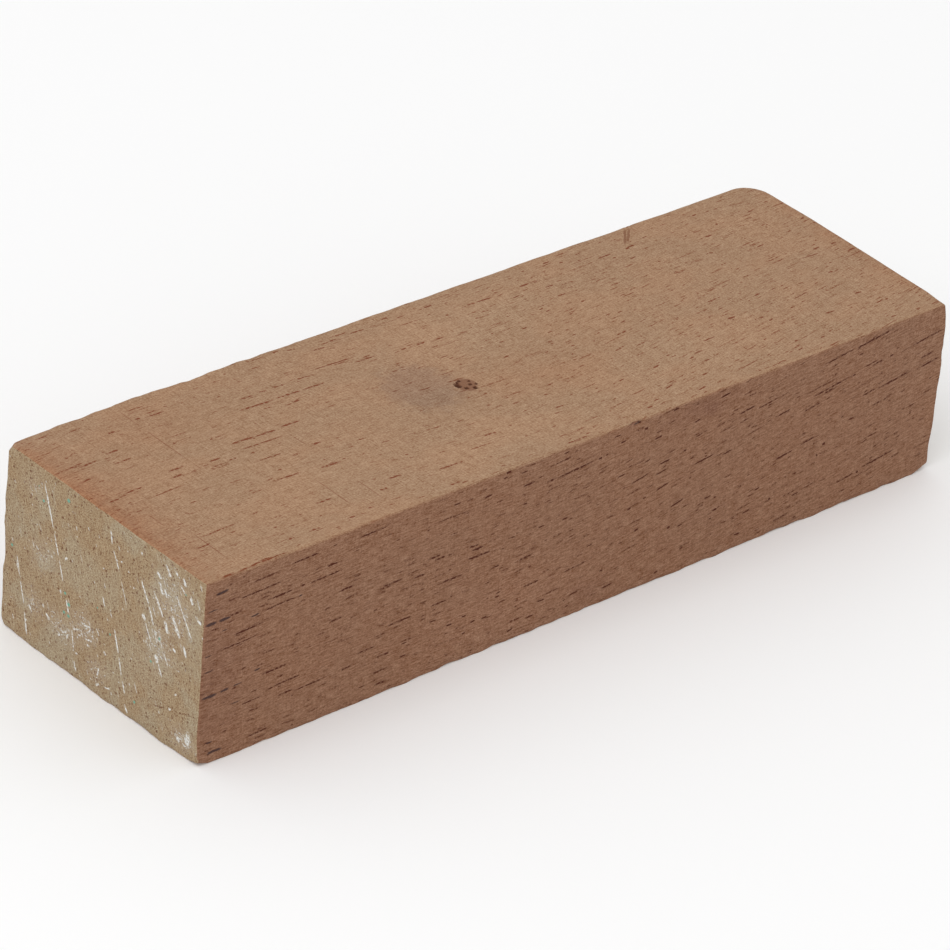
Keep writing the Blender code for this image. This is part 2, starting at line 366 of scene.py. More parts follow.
# Chalk strokes and scratches on the left end: start across and down, end across and down, width, how white.
END_SCRATCHES = (
    (8.5, 2.0, 11.2, 9.2, 0.30, 0.9), (11.2, 9.2, 12.6, 13.0, 0.26, 0.8),
    (12.6, 13.0, 13.9, 16.8, 0.24, 0.7), (14.7, 18.9, 15.4, 21.2, 0.34, 0.9),
    (16.2, 23.0, 17.1, 26.9, 0.26, 0.8), (17.3, 28.0, 18.0, 29.8, 0.24, 0.7),
    (3.0, 17.6, 3.8, 20.8, 0.32, 0.9), (3.9, 21.0, 5.2, 25.4, 0.24, 0.7), (5.3, 26.0, 6.4, 29.8, 0.34, 0.8),
    (23.9, 2.3, 24.4, 4.5, 0.34, 0.9), (24.5, 4.8, 26.4, 8.4, 0.24, 0.7),
    (26.4, 8.5, 28.6, 13.9, 0.20, 0.4), (25.8, 18.0, 27.0, 21.8, 0.32, 1.0),
    (27.1, 22.0, 27.9, 25.2, 0.28, 0.8), (28.1, 25.5, 29.0, 27.6, 0.24, 0.8),
    (29.2, 29.2, 29.9, 30.2, 0.40, 0.9), (31.1, 6.8, 33.2, 10.2, 0.32, 1.0),
    (33.2, 10.2, 34.4, 13.0, 0.34, 1.0), (34.5, 13.2, 35.3, 15.5, 0.26, 0.8),
    (34.1, 7.2, 36.4, 10.4, 0.42, 1.0), (36.8, 10.8, 37.5, 12.4, 0.66, 1.0),
    (36.4, 1.5, 37.6, 3.0, 0.44, 1.0), (34.6, 3.7, 35.4, 4.3, 0.56, 1.0), (35.2, 5.0, 36.0, 6.8, 0.52, 0.9),
    (36.3, 5.5, 37.0, 6.9, 0.40, 0.9), (38.6, 1.4, 39.0, 2.0, 0.44, 0.9), (40.2, 1.8, 41.0, 2.8, 0.50, 0.9),
    (39.7, 3.0, 40.9, 4.2, 0.30, 0.8), (42.0, 4.1, 42.5, 5.0, 0.46, 1.0),
    (38.3, 9.0, 40.2, 11.8, 0.60, 1.0), (40.3, 7.2, 43.0, 11.0, 0.32, 0.9),
    (38.8, 5.0, 41.0, 8.2, 0.34, 0.5), (41.1, 12.6, 41.8, 14.2, 0.50, 1.0),
    (36.9, 16.0, 38.0, 17.9, 0.30, 0.8), (35.4, 13.2, 36.8, 16.0, 0.24, 0.5),
    (31.9, 12.3, 32.4, 12.8, 0.70, 1.0), (32.4, 13.0, 34.2, 16.2, 0.30, 0.7),
    (35.1, 17.4, 35.6, 18.4, 0.66, 0.9), (35.8, 18.5, 36.8, 20.4, 0.32, 0.8),
    (22.8, 14.0, 23.5, 15.8, 0.28, 0.7), (23.0, 11.6, 23.3, 12.7, 0.22, 0.7),
    (43.9, 6.9, 44.6, 7.0, 0.56, 1.0), (14.1, 12.4, 14.5, 12.2, 0.44, 1.0),
    (13.3, 18.2, 13.4, 18.6, 0.40, 1.0), (18.9, 21.3, 20.5, 20.6, 0.28, 0.9),
    (20.6, 20.8, 20.0, 22.0, 0.24, 0.8), (19.4, 23.3, 21.0, 22.8, 0.34, 1.0),
    (19.9, 24.0, 20.4, 24.0, 0.46, 0.9), (21.8, 20.2, 22.5, 21.0, 0.26, 0.8),
    (10.3, 23.8, 11.0, 24.5, 0.48, 1.0), (9.4, 22.8, 9.6, 23.1, 0.40, 0.9),
    (6.2, 24.4, 7.0, 25.4, 0.36, 0.8), (23.8, 23.1, 24.1, 23.4, 0.44, 1.0),
    (22.9, 26.3, 22.6, 27.8, 0.34, 0.8), (22.6, 29.3, 23.2, 29.0, 0.36, 0.9),
    (24.3, 28.8, 25.8, 28.4, 0.28, 0.8), (14.0, 25.0, 15.3, 24.3, 0.34, 0.8),
    (15.2, 25.4, 15.6, 24.6, 0.36, 1.0), (16.5, 23.1, 17.8, 22.5, 0.30, 0.8),
    (17.8, 23.5, 18.3, 23.3, 0.32, 1.0), (13.0, 25.9, 13.8, 25.6, 0.28, 0.7),
    (17.5, 26.8, 17.9, 26.5, 0.34, 0.8), (17.5, 28.8, 17.9, 29.1, 0.34, 0.9),
    (38.7, 24.6, 39.1, 24.5, 0.36, 1.0), (38.9, 14.3, 39.5, 14.7, 0.38, 0.9),
    (39.9, 21.6, 40.2, 21.4, 0.28, 1.0), (30.9, 2.5, 31.1, 2.5, 0.34, 0.9),
    (26.5, 6.3, 26.7, 6.3, 0.34, 0.9), (16.2, 5.8, 16.4, 6.3, 0.34, 0.8), (22.6, 9.5, 22.9, 9.3, 0.34, 0.8),
    (29.5, 9.1, 29.8, 9.0, 0.28, 0.9), (17.7, 16.9, 17.9, 16.8, 0.28, 0.9),
    (28.2, 7.1, 28.4, 7.1, 0.28, 0.8), (43.2, 26.6, 43.1, 28.4, 1.10, 0.8),
    (40.8, 28.2, 41.4, 28.6, 0.70, 0.9),
)

# Dotted growth rings on the left end: start across and down, end across and down, width, how dark.
END_RINGS = (
    (34.5, 26.0, 39.0, 24.7, 0.26, 0.7), (39.0, 24.7, 44.6, 22.9, 0.22, 0.8),
    (28.0, 15.0, 35.0, 12.6, 0.16, 0.2), (33.1, 8.1, 33.2, 8.3, 0.48, 0.8),
    (15.5, 28.7, 15.8, 28.5, 0.56, 0.7), (3.1, 26.4, 3.4, 26.1, 0.46, 0.7),
    (20.1, 7.4, 20.4, 7.7, 0.30, 0.7), (24.0, 9.0, 24.2, 8.8, 0.28, 0.7), (23.2, 6.3, 23.3, 6.5, 0.28, 0.8),
    (30.3, 6.1, 30.4, 6.3, 0.26, 0.9), (37.3, 13.6, 37.6, 13.8, 0.34, 0.8),
    (22.6, 22.2, 22.9, 22.4, 0.28, 0.8),
)

# Green specks on the left end: from the back, down, across, how strong.
END_FLECKS = (
    (14.2, 2.5, 0.62, 1.0), (8.6, 5.4, 0.42, 0.8), (1.8, 16.5, 0.42, 1.0), (14.4, 18.1, 0.44, 0.9),
    (15.3, 19.6, 0.60, 1.0), (14.3, 21.4, 0.42, 0.9), (15.4, 21.5, 0.44, 0.9), (24.9, 19.5, 0.30, 0.8),
    (21.8, 16.6, 0.28, 0.7), (35.8, 14.3, 0.36, 0.9), (34.2, 19.0, 0.40, 0.9), (31.2, 27.6, 0.36, 0.8),
    (41.0, 4.1, 0.34, 0.8), (7.4, 3.5, 0.24, 0.6),
)

# Pits of the knot on the top: along, down, radius along, radius down, depth (0 to 1).
KNOT_PITS = (
    (65.45, 23.1, 0.45, 0.6, 1.0), (66.4, 22.2, 0.22, 0.24, 0.5), (66.1, 24.3, 0.3, 0.28, 0.8),
    (67.25, 23.8, 0.28, 0.26, 0.7), (67.7, 22.95, 0.18, 0.2, 0.4), (67.3, 24.95, 0.32, 0.34, 0.9),
    (68.1, 24.1, 0.18, 0.24, 0.4), (65.9, 22.4, 0.18, 0.2, 0.5),
)


# Middle of the knot: along, down.
KNOT_MIDDLE = (66.7, 23.6)



# ---------------------------------------------------------------- mesh helpers


def deselect_all():
    if bpy.context.mode != "OBJECT":
        bpy.ops.object.mode_set(mode="OBJECT")
    bpy.ops.object.select_all(action="DESELECT")


def edit(piece):
    """Enters edit mode on one piece with nothing in it selected."""
    deselect_all()
    piece.select_set(True)
    bpy.context.view_layer.objects.active = piece
    bpy.ops.object.mode_set(mode="EDIT")
    bpy.ops.mesh.select_all(action="DESELECT")


def pick_corners(piece, test):
    """Selects the vertices that the test says yes to."""
    bpy.ops.mesh.select_mode(type="VERT")
    body = bmesh.from_edit_mesh(piece.data)
    for corner in body.verts:
        corner.select_set(test(corner.co))
    body.select_flush_mode()
    bmesh.update_edit_mesh(piece.data)


def pick_edges(piece, test):
    """Selects the edges whose two ends both pass the test."""
    bpy.ops.mesh.select_mode(type="EDGE")
    body = bmesh.from_edit_mesh(piece.data)
    for edge in body.edges:
        edge.select_set(all(test(corner.co) for corner in edge.verts))
    bmesh.update_edit_mesh(piece.data)


def pick_faces(piece, test):
    """Selects the faces whose middle and normal pass the test."""
    bpy.ops.mesh.select_mode(type="FACE")
    body = bmesh.from_edit_mesh(piece.data)
    for face in body.faces:
        face.select_set(test(face.calc_center_median(), face.normal))
    bmesh.update_edit_mesh(piece.data)


def cut_across(axis, place):
    """Cuts the whole mesh with a plane square to an axis."""
    at = [0.0, 0.0, 0.0]
    facing = [0.0, 0.0, 0.0]
    at[axis] = place
    facing[axis] = 1.0
    bpy.ops.mesh.select_all(action="SELECT")
    bpy.ops.mesh.bisect(plane_co=at, plane_no=facing)


def even_steps(low, high, step):
    """Places between low and high, about a step apart, leaving out both ends."""
    count = max(2, round((high - low) / step))
    return [low + (high - low) * i / count for i in range(1, count)]


def mesh_points(piece):
    """The piece's vertices as an array."""
    points = np.empty(len(piece.data.vertices) * 3, np.float32)
    piece.data.vertices.foreach_get("co", points)
    return points.reshape(-1, 3)


def weigh(piece, name, weights):
    """Makes a vertex group from one weight for each vertex."""
    group = piece.vertex_groups.new(name=name)
    for index in np.nonzero(weights > 0.004)[0]:
        group.add([int(index)], float(weights[index]), "REPLACE")
    return group


def push(piece, group, strength, direction="NORMAL", texture=None, middle=0.0):
    """Moves a vertex group with a Displace modifier and applies it."""
    shove = piece.modifiers.new(group, "DISPLACE")
    shove.vertex_group = group
    shove.direction = direction
    shove.strength = strength
    shove.mid_level = middle
    if texture:
        shove.texture = texture
        shove.texture_coords = "LOCAL"
    bpy.context.view_layer.objects.active = piece
    bpy.ops.object.modifier_apply(modifier=shove.name)


def cloudy(name, size, depth=2, contrast=1.0):
    texture = bpy.data.textures.new(name, "CLOUDS")
    texture.noise_scale = size
    texture.noise_depth = depth
    texture.noise_basis = "ORIGINAL_PERLIN"
    texture.contrast = contrast
    return texture


def smooth_step(value):
    value = np.clip(value, 0.0, 1.0)
    return value * value * (3.0 - 2.0 * value)


# ---------------------------------------------------------------- node helpers


def node(tree, kind, **settings):
    made = tree.nodes.new(kind)
    for name, value in settings.items():
        setattr(made, name, value)
    return made


def feed(tree, socket, value):
    """Links a socket to a socket, or sets its value."""
    if isinstance(value, bpy.types.NodeSocket):
        tree.links.new(value, socket)
    elif value is not None:
        if socket.type == "RGBA" and len(value) == 3:
            value = (*value, 1.0)
        socket.default_value = value


def maths(tree, operation, *values, clamp=False):
    made = node(tree, "ShaderNodeMath", operation=operation, use_clamp=clamp)
    for socket, value in zip(made.inputs, values):
        feed(tree, socket, value)
    return made.outputs[0]


def vector_maths(tree, operation, *values):
    made = node(tree, "ShaderNodeVectorMath", operation=operation)
    for socket, value in zip(made.inputs, values):
        feed(tree, socket, value)
    return made.outputs["Value" if operation in ("LENGTH", "DOT_PRODUCT") else "Vector"]


def combine(tree, x, y, z=0.0):
    made = node(tree, "ShaderNodeCombineXYZ")
    for socket, value in zip(made.inputs, (x, y, z)):
        feed(tree, socket, value)
    return made.outputs[0]


def split(tree, vector):
    made = node(tree, "ShaderNodeSeparateXYZ")
    feed(tree, made.inputs[0], vector)
    return made.outputs


def blend(tree, amount, first, second, mode="MIX"):
    made = node(tree, "ShaderNodeMix", data_type="RGBA", blend_type=mode)
    feed(tree, made.inputs[0], amount)
    feed(tree, made.inputs[6], first)
    feed(tree, made.inputs[7], second)
    return made.outputs[2]


def ramp(tree, value, low, high, start=0.0, end=1.0):
    """A smooth change from start to end as the value goes from low to high."""
    made = node(tree, "ShaderNodeMapRange", interpolation_type="SMOOTHSTEP")
    for socket, given in zip(made.inputs, (value, low, high, start, end)):
        feed(tree, socket, given)
    return made.outputs[0]


def noise(tree, vector, scale=1.0, detail=2.0, roughness=0.5):
    made = node(tree, "ShaderNodeTexNoise", noise_dimensions="2D")
    feed(tree, made.inputs["Vector"], vector)
    feed(tree, made.inputs["Scale"], scale)
    feed(tree, made.inputs["Detail"], detail)
    feed(tree, made.inputs["Roughness"], roughness)
    return made.outputs[0]


def stretched(tree, vector, along, across, seed=0.0):
    """The vector divided into steps of that many millimetres each way, and shifted by a seed."""
    shifted = vector_maths(
        tree, "ADD", vector,
        combine(tree, maths(tree, "MULTIPLY", seed, 37.0), maths(tree, "MULTIPLY", seed, 23.0))
    )
    return vector_maths(tree, "MULTIPLY", shifted, (1.0 / along, 1.0 / across, 0.0))


def toned(tree, colour, light):
    """Wood lighter or darker: its red changes least and its blue most, so dark wood is redder."""
    change = maths(tree, "SUBTRACT", light, 1.0)
    shares = [maths(tree, "MULTIPLY_ADD", change, share, 1.0) for share in (0.72, 1.0, 1.22)]
    return vector_maths(tree, "MULTIPLY", colour, combine(tree, *shares))


def new_group(name, inputs, outputs):
    """A shader node group with named sockets: (name, kind, default) in, (name, kind) out."""
    group = bpy.data.node_groups.new(name, "ShaderNodeTree")
    for label, kind, default in inputs:
        socket = group.interface.new_socket(name=label, in_out="INPUT", socket_type=kind)
        if default is not None:
            socket.default_value = default
    for label, kind in outputs:
        group.interface.new_socket(name=label, in_out="OUTPUT", socket_type=kind)
    return group, node(group, "NodeGroupInput").outputs, node(group, "NodeGroupOutput").inputs


def place_group(tree, group, **values):
    """Puts a group in a tree. A socket called Pore Colour is given as pore_colour."""
    made = node(tree, "ShaderNodeGroup", node_tree=bpy.data.node_groups[group])
    made.label = group
    for name, value in values.items():
        feed(tree, made.inputs[name.replace("_", " ").title()], value)
    return made.outputs


FLOAT = "NodeSocketFloat"
VECTOR = "NodeSocketVector"
COLOUR = "NodeSocketColor"


# ---------------------------------------------------------------- shared effects


def build_grain_flow():
    """Straightens the grain: after it, lines that follow the wood run level."""
    group, given, out = new_group(
        "Grain Flow",
        [
            ("Vector", VECTOR, None), ("Left Slope", FLOAT, 0.0), ("Middle Start", FLOAT, 18.0),
            ("Middle Slope", FLOAT, 0.0), ("Right Start", FLOAT, 78.0), ("Right Slope", FLOAT, 0.0),
            ("Fan", FLOAT, 0.0),
        ],
        [("Vector", VECTOR)],
    )
    along, down, _ = split(group, given["Vector"])

    def bend(start, change):
        past = maths(group, "SUBTRACT", along, start)
        root = maths(group, "SQRT", maths(group, "ADD", maths(group, "MULTIPLY", past, past), 144.0))
        return maths(
            group, "MULTIPLY", maths(group, "MULTIPLY", maths(group, "ADD", past, root), 0.5), change
        )

    first = maths(group, "MULTIPLY", along, given["Left Slope"])
    second = bend(
        given["Middle Start"], maths(group, "SUBTRACT", given["Middle Slope"], given["Left Slope"])
    )
    third = bend(
        given["Right Start"], maths(group, "SUBTRACT", given["Right Slope"], given["Middle Slope"])
    )
    spread = maths(
        group, "MULTIPLY_ADD", maths(group, "SUBTRACT", maths(group, "DIVIDE", down, 45.0), 1.0),
        given["Fan"], 1.0
    )
    level = maths(
        group, "ADD", maths(group, "ADD", down, first),
        maths(group, "ADD", second, maths(group, "MULTIPLY", third, spread))
    )
    feed(group, out["Vector"], combine(group, along, level))


def level_of(along, down, flow):
    """The same straightening for one point, in plain numbers."""

    def bend(start, change):
        past = along - start
        return 0.5 * (past + math.sqrt(past * past + 144.0)) * change

    first = along * flow["left_slope"]
    second = bend(flow["middle_start"], flow["middle_slope"] - flow["left_slope"])
    third = bend(flow["right_start"], flow["right_slope"] - flow["middle_slope"])
    return down + first + second + third * (1.0 + flow["fan"] * (down / 45.0 - 1.0))


def build_pore_dashes():
    """Scattered dashes along the grain, each a cut-open pore with its own length and darkness."""
    group, given, out = new_group(
        "Pore Dashes",
        [
            ("Vector", VECTOR, None), ("Length", FLOAT, 8.0), ("Spacing", FLOAT, 1.5),
            ("Width", FLOAT, 0.25),
            ("Amount", FLOAT, 0.4), ("Seed", FLOAT, 0.0),
        ],
        [("Mask", FLOAT)],
    )
    along, level, _ = split(group, given["Vector"])
    u = maths(
        group, "ADD", maths(group, "DIVIDE", along, given["Length"]),
        maths(group, "MULTIPLY", given["Seed"], 17.3)
    )
    v = maths(
        group, "ADD", maths(group, "DIVIDE", level, given["Spacing"]),
        maths(group, "MULTIPLY", given["Seed"], 9.1)
    )
    place = combine(group, u, v)
    cells = node(group, "ShaderNodeTexVoronoi", voronoi_dimensions="2D")
    feed(group, cells.inputs["Vector"], place)
    feed(group, cells.inputs["Scale"], 1.0)
    du, dv, _ = split(group, vector_maths(group, "SUBTRACT", place, cells.outputs["Position"]))
    shade = node(group, "ShaderNodeSeparateColor")
    feed(group, shade.inputs[0], cells.outputs["Color"])
    long = maths(group, "MULTIPLY_ADD", shade.outputs[1], 0.30, 0.10)
    wide = maths(group, "DIVIDE", maths(group, "MULTIPLY", given["Width"], 0.5), given["Spacing"])
    wide = maths(group, "MULTIPLY", wide, maths(group, "MULTIPLY_ADD", shade.outputs[2], 0.6, 0.7))
    reach = vector_maths(
        group, "LENGTH", combine(group, maths(group, "DIVIDE", du, long), maths(group, "DIVIDE", dv, wide))
    )
    body = ramp(group, reach, 1.0, 0.45)
    chosen = maths(group, "LESS_THAN", shade.outputs[0], given["Amount"])
    darkness = maths(
        group, "MULTIPLY_ADD", maths(group, "MULTIPLY", shade.outputs[2], shade.outputs[2]), 0.75, 0.25
    )
    feed(group, out["Mask"], maths(group, "MULTIPLY", maths(group, "MULTIPLY", body, chosen), darkness))


def build_pore_line():
    """Adds one placed line to a running measure: 0 in the middle of the nearest line, 1 at its rim."""
    group, given, out = new_group(
        "Pore Line",
        [
            ("Vector", VECTOR, None), ("Stretch", VECTOR, None), ("Shift", VECTOR, None),
            ("Others", FLOAT, 9.0)
        ],
        [("Nearest", FLOAT)],
    )
    stretched_place = node(group, "ShaderNodeVectorMath", operation="MULTIPLY_ADD")
    feed(group, stretched_place.inputs[0], given["Vector"])
    feed(group, stretched_place.inputs[1], given["Stretch"])
    feed(group, stretched_place.inputs[2], given["Shift"])
    squared = vector_maths(group, "MULTIPLY", stretched_place.outputs[0], stretched_place.outputs[0])
    feed(
        group, out["Nearest"],
        maths(group, "MINIMUM", vector_maths(group, "LENGTH", squared), given["Others"])
    )


def build_stroke():
    """Adds one stroke of any slant.

    The vector carries the place in x and y, and a running measure in z: 0 along the nearest stroke, 1 at
    its rim.
    """
    group, given, out = new_group(
        "Stroke",
        [
            ("Vector", VECTOR, None), ("Middle", VECTOR, None), ("Turn", VECTOR, None),
            ("Half", VECTOR, (1.0, 1.0, 1.0)),
            ("Faint", FLOAT, 0.0),
        ],
        [("Vector", VECTOR)],
    )
    x, y, nearest = split(group, given["Vector"])
    laid = node(group, "ShaderNodeMapping", vector_type="TEXTURE")
    feed(group, laid.inputs["Vector"], combine(group, x, y))
    feed(group, laid.inputs["Location"], given["Middle"])
    feed(group, laid.inputs["Rotation"], given["Turn"])
    feed(group, laid.inputs["Scale"], given["Half"])
    reach = vector_maths(group, "LENGTH", vector_maths(group, "MULTIPLY", laid.outputs[0], laid.outputs[0]))
    nearer = maths(group, "MINIMUM", maths(group, "ADD", reach, given["Faint"]), nearest)
    feed(group, out["Vector"], combine(group, x, y, nearer))


def build_long_grain():
    """Planed or sawn wood along the grain: fibres, chatter marks across it, cloudy tone and open pores, with
    a fine speckle that is partly painted glints of fibre ends.
    """
    group, given, out = new_group(
        "Long Grain",
        [
            ("Face", VECTOR, None), ("Grain", VECTOR, None), ("Wood", COLOUR, None), ("Warm", COLOUR, None),
            ("Pore", COLOUR, None), ("Seed", FLOAT, 0.0), ("Chatter", FLOAT, 1.0), ("Fibre", FLOAT, 1.0),
            ("Pores", FLOAT, 1.0),
            ("Speckle", FLOAT, 1.0),
        ],
        [("Color", COLOUR), ("Height", FLOAT), ("Pore Mask", FLOAT)],
    )
    seed = given["Seed"]
    fibre = noise(group, stretched(group, given["Grain"], 2.0, 0.26, seed), detail=3.0, roughness=0.6)
    speck_and_glint = noise(group, stretched(group, given["Grain"], 0.40, 0.17, seed), detail=2.0, roughness=0.6)
    chatter = noise(group, stretched(group, given["Face"], 0.24, 1.1, seed), detail=2.0, roughness=0.6)
    cloud = noise(group, stretched(group, given["Face"], 14.0, 9.0, seed), detail=2.0)
    zones = noise(
        group, stretched(group, given["Face"], 9.0, 12.0, maths(group, "ADD", seed, 4.0)), detail=2.0
    )

    def swing(value, amount):
        return maths(group, "MULTIPLY", maths(group, "SUBTRACT", value, 0.5), amount)

    # The fine speckle lightens and darkens the colour: partly the wood's own flecks, partly painted glints
    # where fibre ends catch the light.
    light = maths(group, "ADD", 1.0, maths(group, "MULTIPLY", swing(speck_and_glint, 1.5), given["Speckle"]))
    light = maths(group, "ADD", light, maths(group, "MULTIPLY", swing(fibre, 1.2), given["Fibre"]))
    light = maths(
        group, "ADD", light,
        maths(
            group, "MULTIPLY", swing(chatter, 1.1),
            maths(group, "MULTIPLY", given["Chatter"], ramp(group, zones, 0.44, 0.62, 0.25, 1.0))
        )
    )
    mottle = noise(group, stretched(group, given["Grain"], 1.9, 1.1, seed), detail=3.0, roughness=0.6)
    light = maths(group, "ADD", light, maths(group, "ADD", swing(cloud, 0.22), swing(mottle, 0.42)))
    rakes = noise(
        group, stretched(group, given["Face"], 0.24, 8.0, maths(group, "ADD", seed, 2.0)), detail=1.0
    )
    rakes = maths(group, "SUBTRACT", ramp(group, rakes, 0.58, 0.70), ramp(group, rakes, 0.40, 0.28))
    light = maths(
        group, "ADD", light,
        maths(group, "MULTIPLY", rakes, maths(group, "MULTIPLY", given["Chatter"], 0.13))
    )
    wood = blend(group, ramp(group, cloud, 0.35, 0.70), given["Wood"], given["Warm"])
    bright = toned(group, wood, light)

    ragged = vector_maths(
        group, "ADD", given["Grain"],
        combine(
            group, 0.0,
            swing(noise(group, stretched(group, given["Grain"], 1.1, 0.9, seed), detail=2.0), 0.34)
        ),
    )
    few = maths(group, "MULTIPLY", given["Pores"], 0.38)
    many = maths(group, "MULTIPLY", given["Pores"], 0.50)
    masks = [
        place_group(
            group, "Pore Dashes", vector=ragged, length=12.0, spacing=2.4, width=0.30, amount=few, seed=seed
        )["Mask"],
        place_group(
            group, "Pore Dashes", vector=ragged, length=5.5, spacing=1.15, width=0.32, amount=few,
            seed=maths(group, "ADD", seed, 3.0)
        )["Mask"],
        place_group(
            group, "Pore Dashes", vector=ragged, length=2.6, spacing=0.60, width=0.25, amount=many,
            seed=maths(group, "ADD", seed, 7.0)
        )["Mask"],
    ]
    pores = maths(group, "MAXIMUM", maths(group, "MAXIMUM", masks[0], masks[1]), masks[2])
    beads = ramp(
        group, noise(group, stretched(group, given["Grain"], 0.45, 2.0, seed), detail=1.0), 0.36, 0.54,
        0.30, 1.0
    )
    pores = maths(group, "MULTIPLY", pores, beads)
    grit = noise(
        group, stretched(group, given["Grain"], 0.42, 0.24, maths(group, "ADD", seed, 5.0)), detail=2.0,
        roughness=0.65
    )
    grit = maths(
        group, "MULTIPLY", ramp(group, grit, 0.44, 0.28), maths(group, "MULTIPLY", given["Speckle"], 0.26)
    )

    stained = blend(group, grit, bright, given["Pore"])
    feed(group, out["Color"], blend(group, maths(group, "MULTIPLY", pores, 0.95), stained, given["Pore"]))
    relief = maths(
        group, "ADD", swing(speck_and_glint, 0.5), maths(group, "ADD", swing(fibre, 0.6), swing(chatter, 0.5))
    )
    feed(group, out["Height"], maths(group, "SUBTRACT", relief, pores))
    feed(group, out["Pore Mask"], pores)


def build_end_grain():
    """Sawn end grain: dot-like pores, faint rings and the fuzz of torn fibres, with a speckle that is partly
    painted glints of fibre ends.
    """
    group, given, out = new_group(
        "End Grain",
        [
            ("Face", VECTOR, None), ("Wood", COLOUR, None), ("Warm", COLOUR, None), ("Pore", COLOUR, None),
            ("Seed", FLOAT, 0.0)
        ],
        [("Color", COLOUR), ("Height", FLOAT), ("Pore Mask", FLOAT)],
    )
    seed = given["Seed"]

    def swing(value, amount):
        return maths(group, "MULTIPLY", maths(group, "SUBTRACT", value, 0.5), amount)

    def dots(step, radius, amount, number):
        place = stretched(group, given["Face"], step, step, maths(group, "ADD", seed, number))
        cells = node(group, "ShaderNodeTexVoronoi", voronoi_dimensions="2D")
        feed(group, cells.inputs["Vector"], place)
        feed(group, cells.inputs["Scale"], 1.0)
        shade = node(group, "ShaderNodeSeparateColor")
        feed(group, shade.inputs[0], cells.outputs["Color"])
        reach = maths(
            group, "DIVIDE", cells.outputs["Distance"],
            maths(group, "MULTIPLY_ADD", shade.outputs[1], radius / step, 0.5 * radius / step)
        )
        body = maths(
            group, "MULTIPLY", ramp(group, reach, 1.0, 0.4),
            maths(group, "LESS_THAN", shade.outputs[0], amount)
        )
        return maths(group, "MULTIPLY", body, maths(group, "MULTIPLY_ADD", shade.outputs[2], 0.8, 0.2))

    x, y, _ = split(group, given["Face"])
    leaning = combine(group, maths(group, "SUBTRACT", x, maths(group, "MULTIPLY", y, 0.36)), y)
    speck_and_glint = noise(group, stretched(group, given["Face"], 0.22, 0.24, seed), detail=3.0, roughness=0.6)
    torn = noise(group, stretched(group, leaning, 0.34, 1.7, seed), detail=2.0)
    cloud = noise(group, stretched(group, given["Face"], 7.0, 9.0, seed), detail=3.0)
    # The speckle in the colour is partly the end grain's own flecks and partly painted glints of cut fibre
    # ends.
    light = maths(
        group, "ADD", 1.0,
        maths(group, "ADD", swing(speck_and_glint, 2.0), maths(group, "ADD", swing(torn, 0.7), swing(cloud, 0.24)))
    )
    wood = blend(group, ramp(group, cloud, 0.44, 0.62), given["Warm"], given["Wood"])
    bright = toned(group, wood, light)
    pores = maths(group, "MAXIMUM", dots(1.25, 0.22, 0.55, 1.0), dots(0.60, 0.13, 0.50, 5.0))
    feed(group, out["Color"], blend(group, maths(group, "MULTIPLY", pores, 0.85), bright, given["Pore"]))
    feed(
        group, out["Height"],
        maths(group, "SUBTRACT", maths(group, "ADD", swing(speck_and_glint, 0.8), swing(torn, 0.5)), pores)
    )
    feed(group, out["Pore Mask"], pores)


def build_soft_patch():
    """A soft-edged oval patch, ragged by noise: 1 in its middle, 0 outside."""
    group, given, out = new_group(
        "Soft Patch",
        [
            ("Vector", VECTOR, None), ("Middle", VECTOR, None), ("Reach", VECTOR, (5.0, 5.0, 1.0)),
            ("Ragged", FLOAT, 0.4)
        ],
        [("Mask", FLOAT)],
    )
    away = vector_maths(
        group, "DIVIDE", vector_maths(group, "SUBTRACT", given["Vector"], given["Middle"]), given["Reach"]
    )
    x, y, _ = split(group, away)
    reach = vector_maths(group, "LENGTH", combine(group, x, y))
    rough = maths(
        group, "MULTIPLY",
        maths(group, "SUBTRACT", noise(group, given["Vector"], scale=0.55, detail=3.0), 0.5),
        given["Ragged"]
    )
    feed(group, out["Mask"], ramp(group, maths(group, "ADD", reach, rough), 1.0, 0.0))


def build_chalk_dust():
    """White specks that gather in a patch."""
    group, given, out = new_group(
        "Chalk Dust",
        [("Vector", VECTOR, None), ("Patch", FLOAT, 0.0), ("Seed", FLOAT, 0.0)],
        [("Mask", FLOAT)],
    )
    grit = noise(
        group, stretched(group, given["Vector"], 0.85, 0.38, given["Seed"]), detail=3.0, roughness=0.8
    )
    limit = maths(group, "MULTIPLY_ADD", given["Patch"], -0.235, 0.735)
    feed(group, out["Mask"], ramp(group, maths(group, "SUBTRACT", grit, limit), 0.0, 0.06))


# ---------------------------------------------------------------- materials


def face_vector(tree, side):
    """Object place in millimetres: along or across the face, then down it from its back or top edge."""
    turns = {
        "wide": (Matrix(((1, 0, 0), (0, -1, 0), (0, 0, -1))), (-LEFT, BACK, 0.0)),
        "narrow": (Matrix(((1, 0, 0), (0, 0, -1), (0, 1, 0))), (-LEFT, TOP, 0.0)),
        "end": (Matrix(((0, -1, 0), (0, 0, -1), (1, 0, 0))), (BACK, TOP, 0.0)),
    }
    turn, shift = turns[side]
    where = node(tree, "ShaderNodeTexCoord")
    mapping = node(tree, "ShaderNodeMapping")
    feed(tree, mapping.inputs["Vector"], where.outputs["Object"])
    mapping.inputs["Location"].default_value = shift
    mapping.inputs["Rotation"].default_value = turn.to_euler()
    mapping.inputs["Scale"].default_value = (1000.0, 1000.0, 1000.0)
    return mapping.outputs[0]


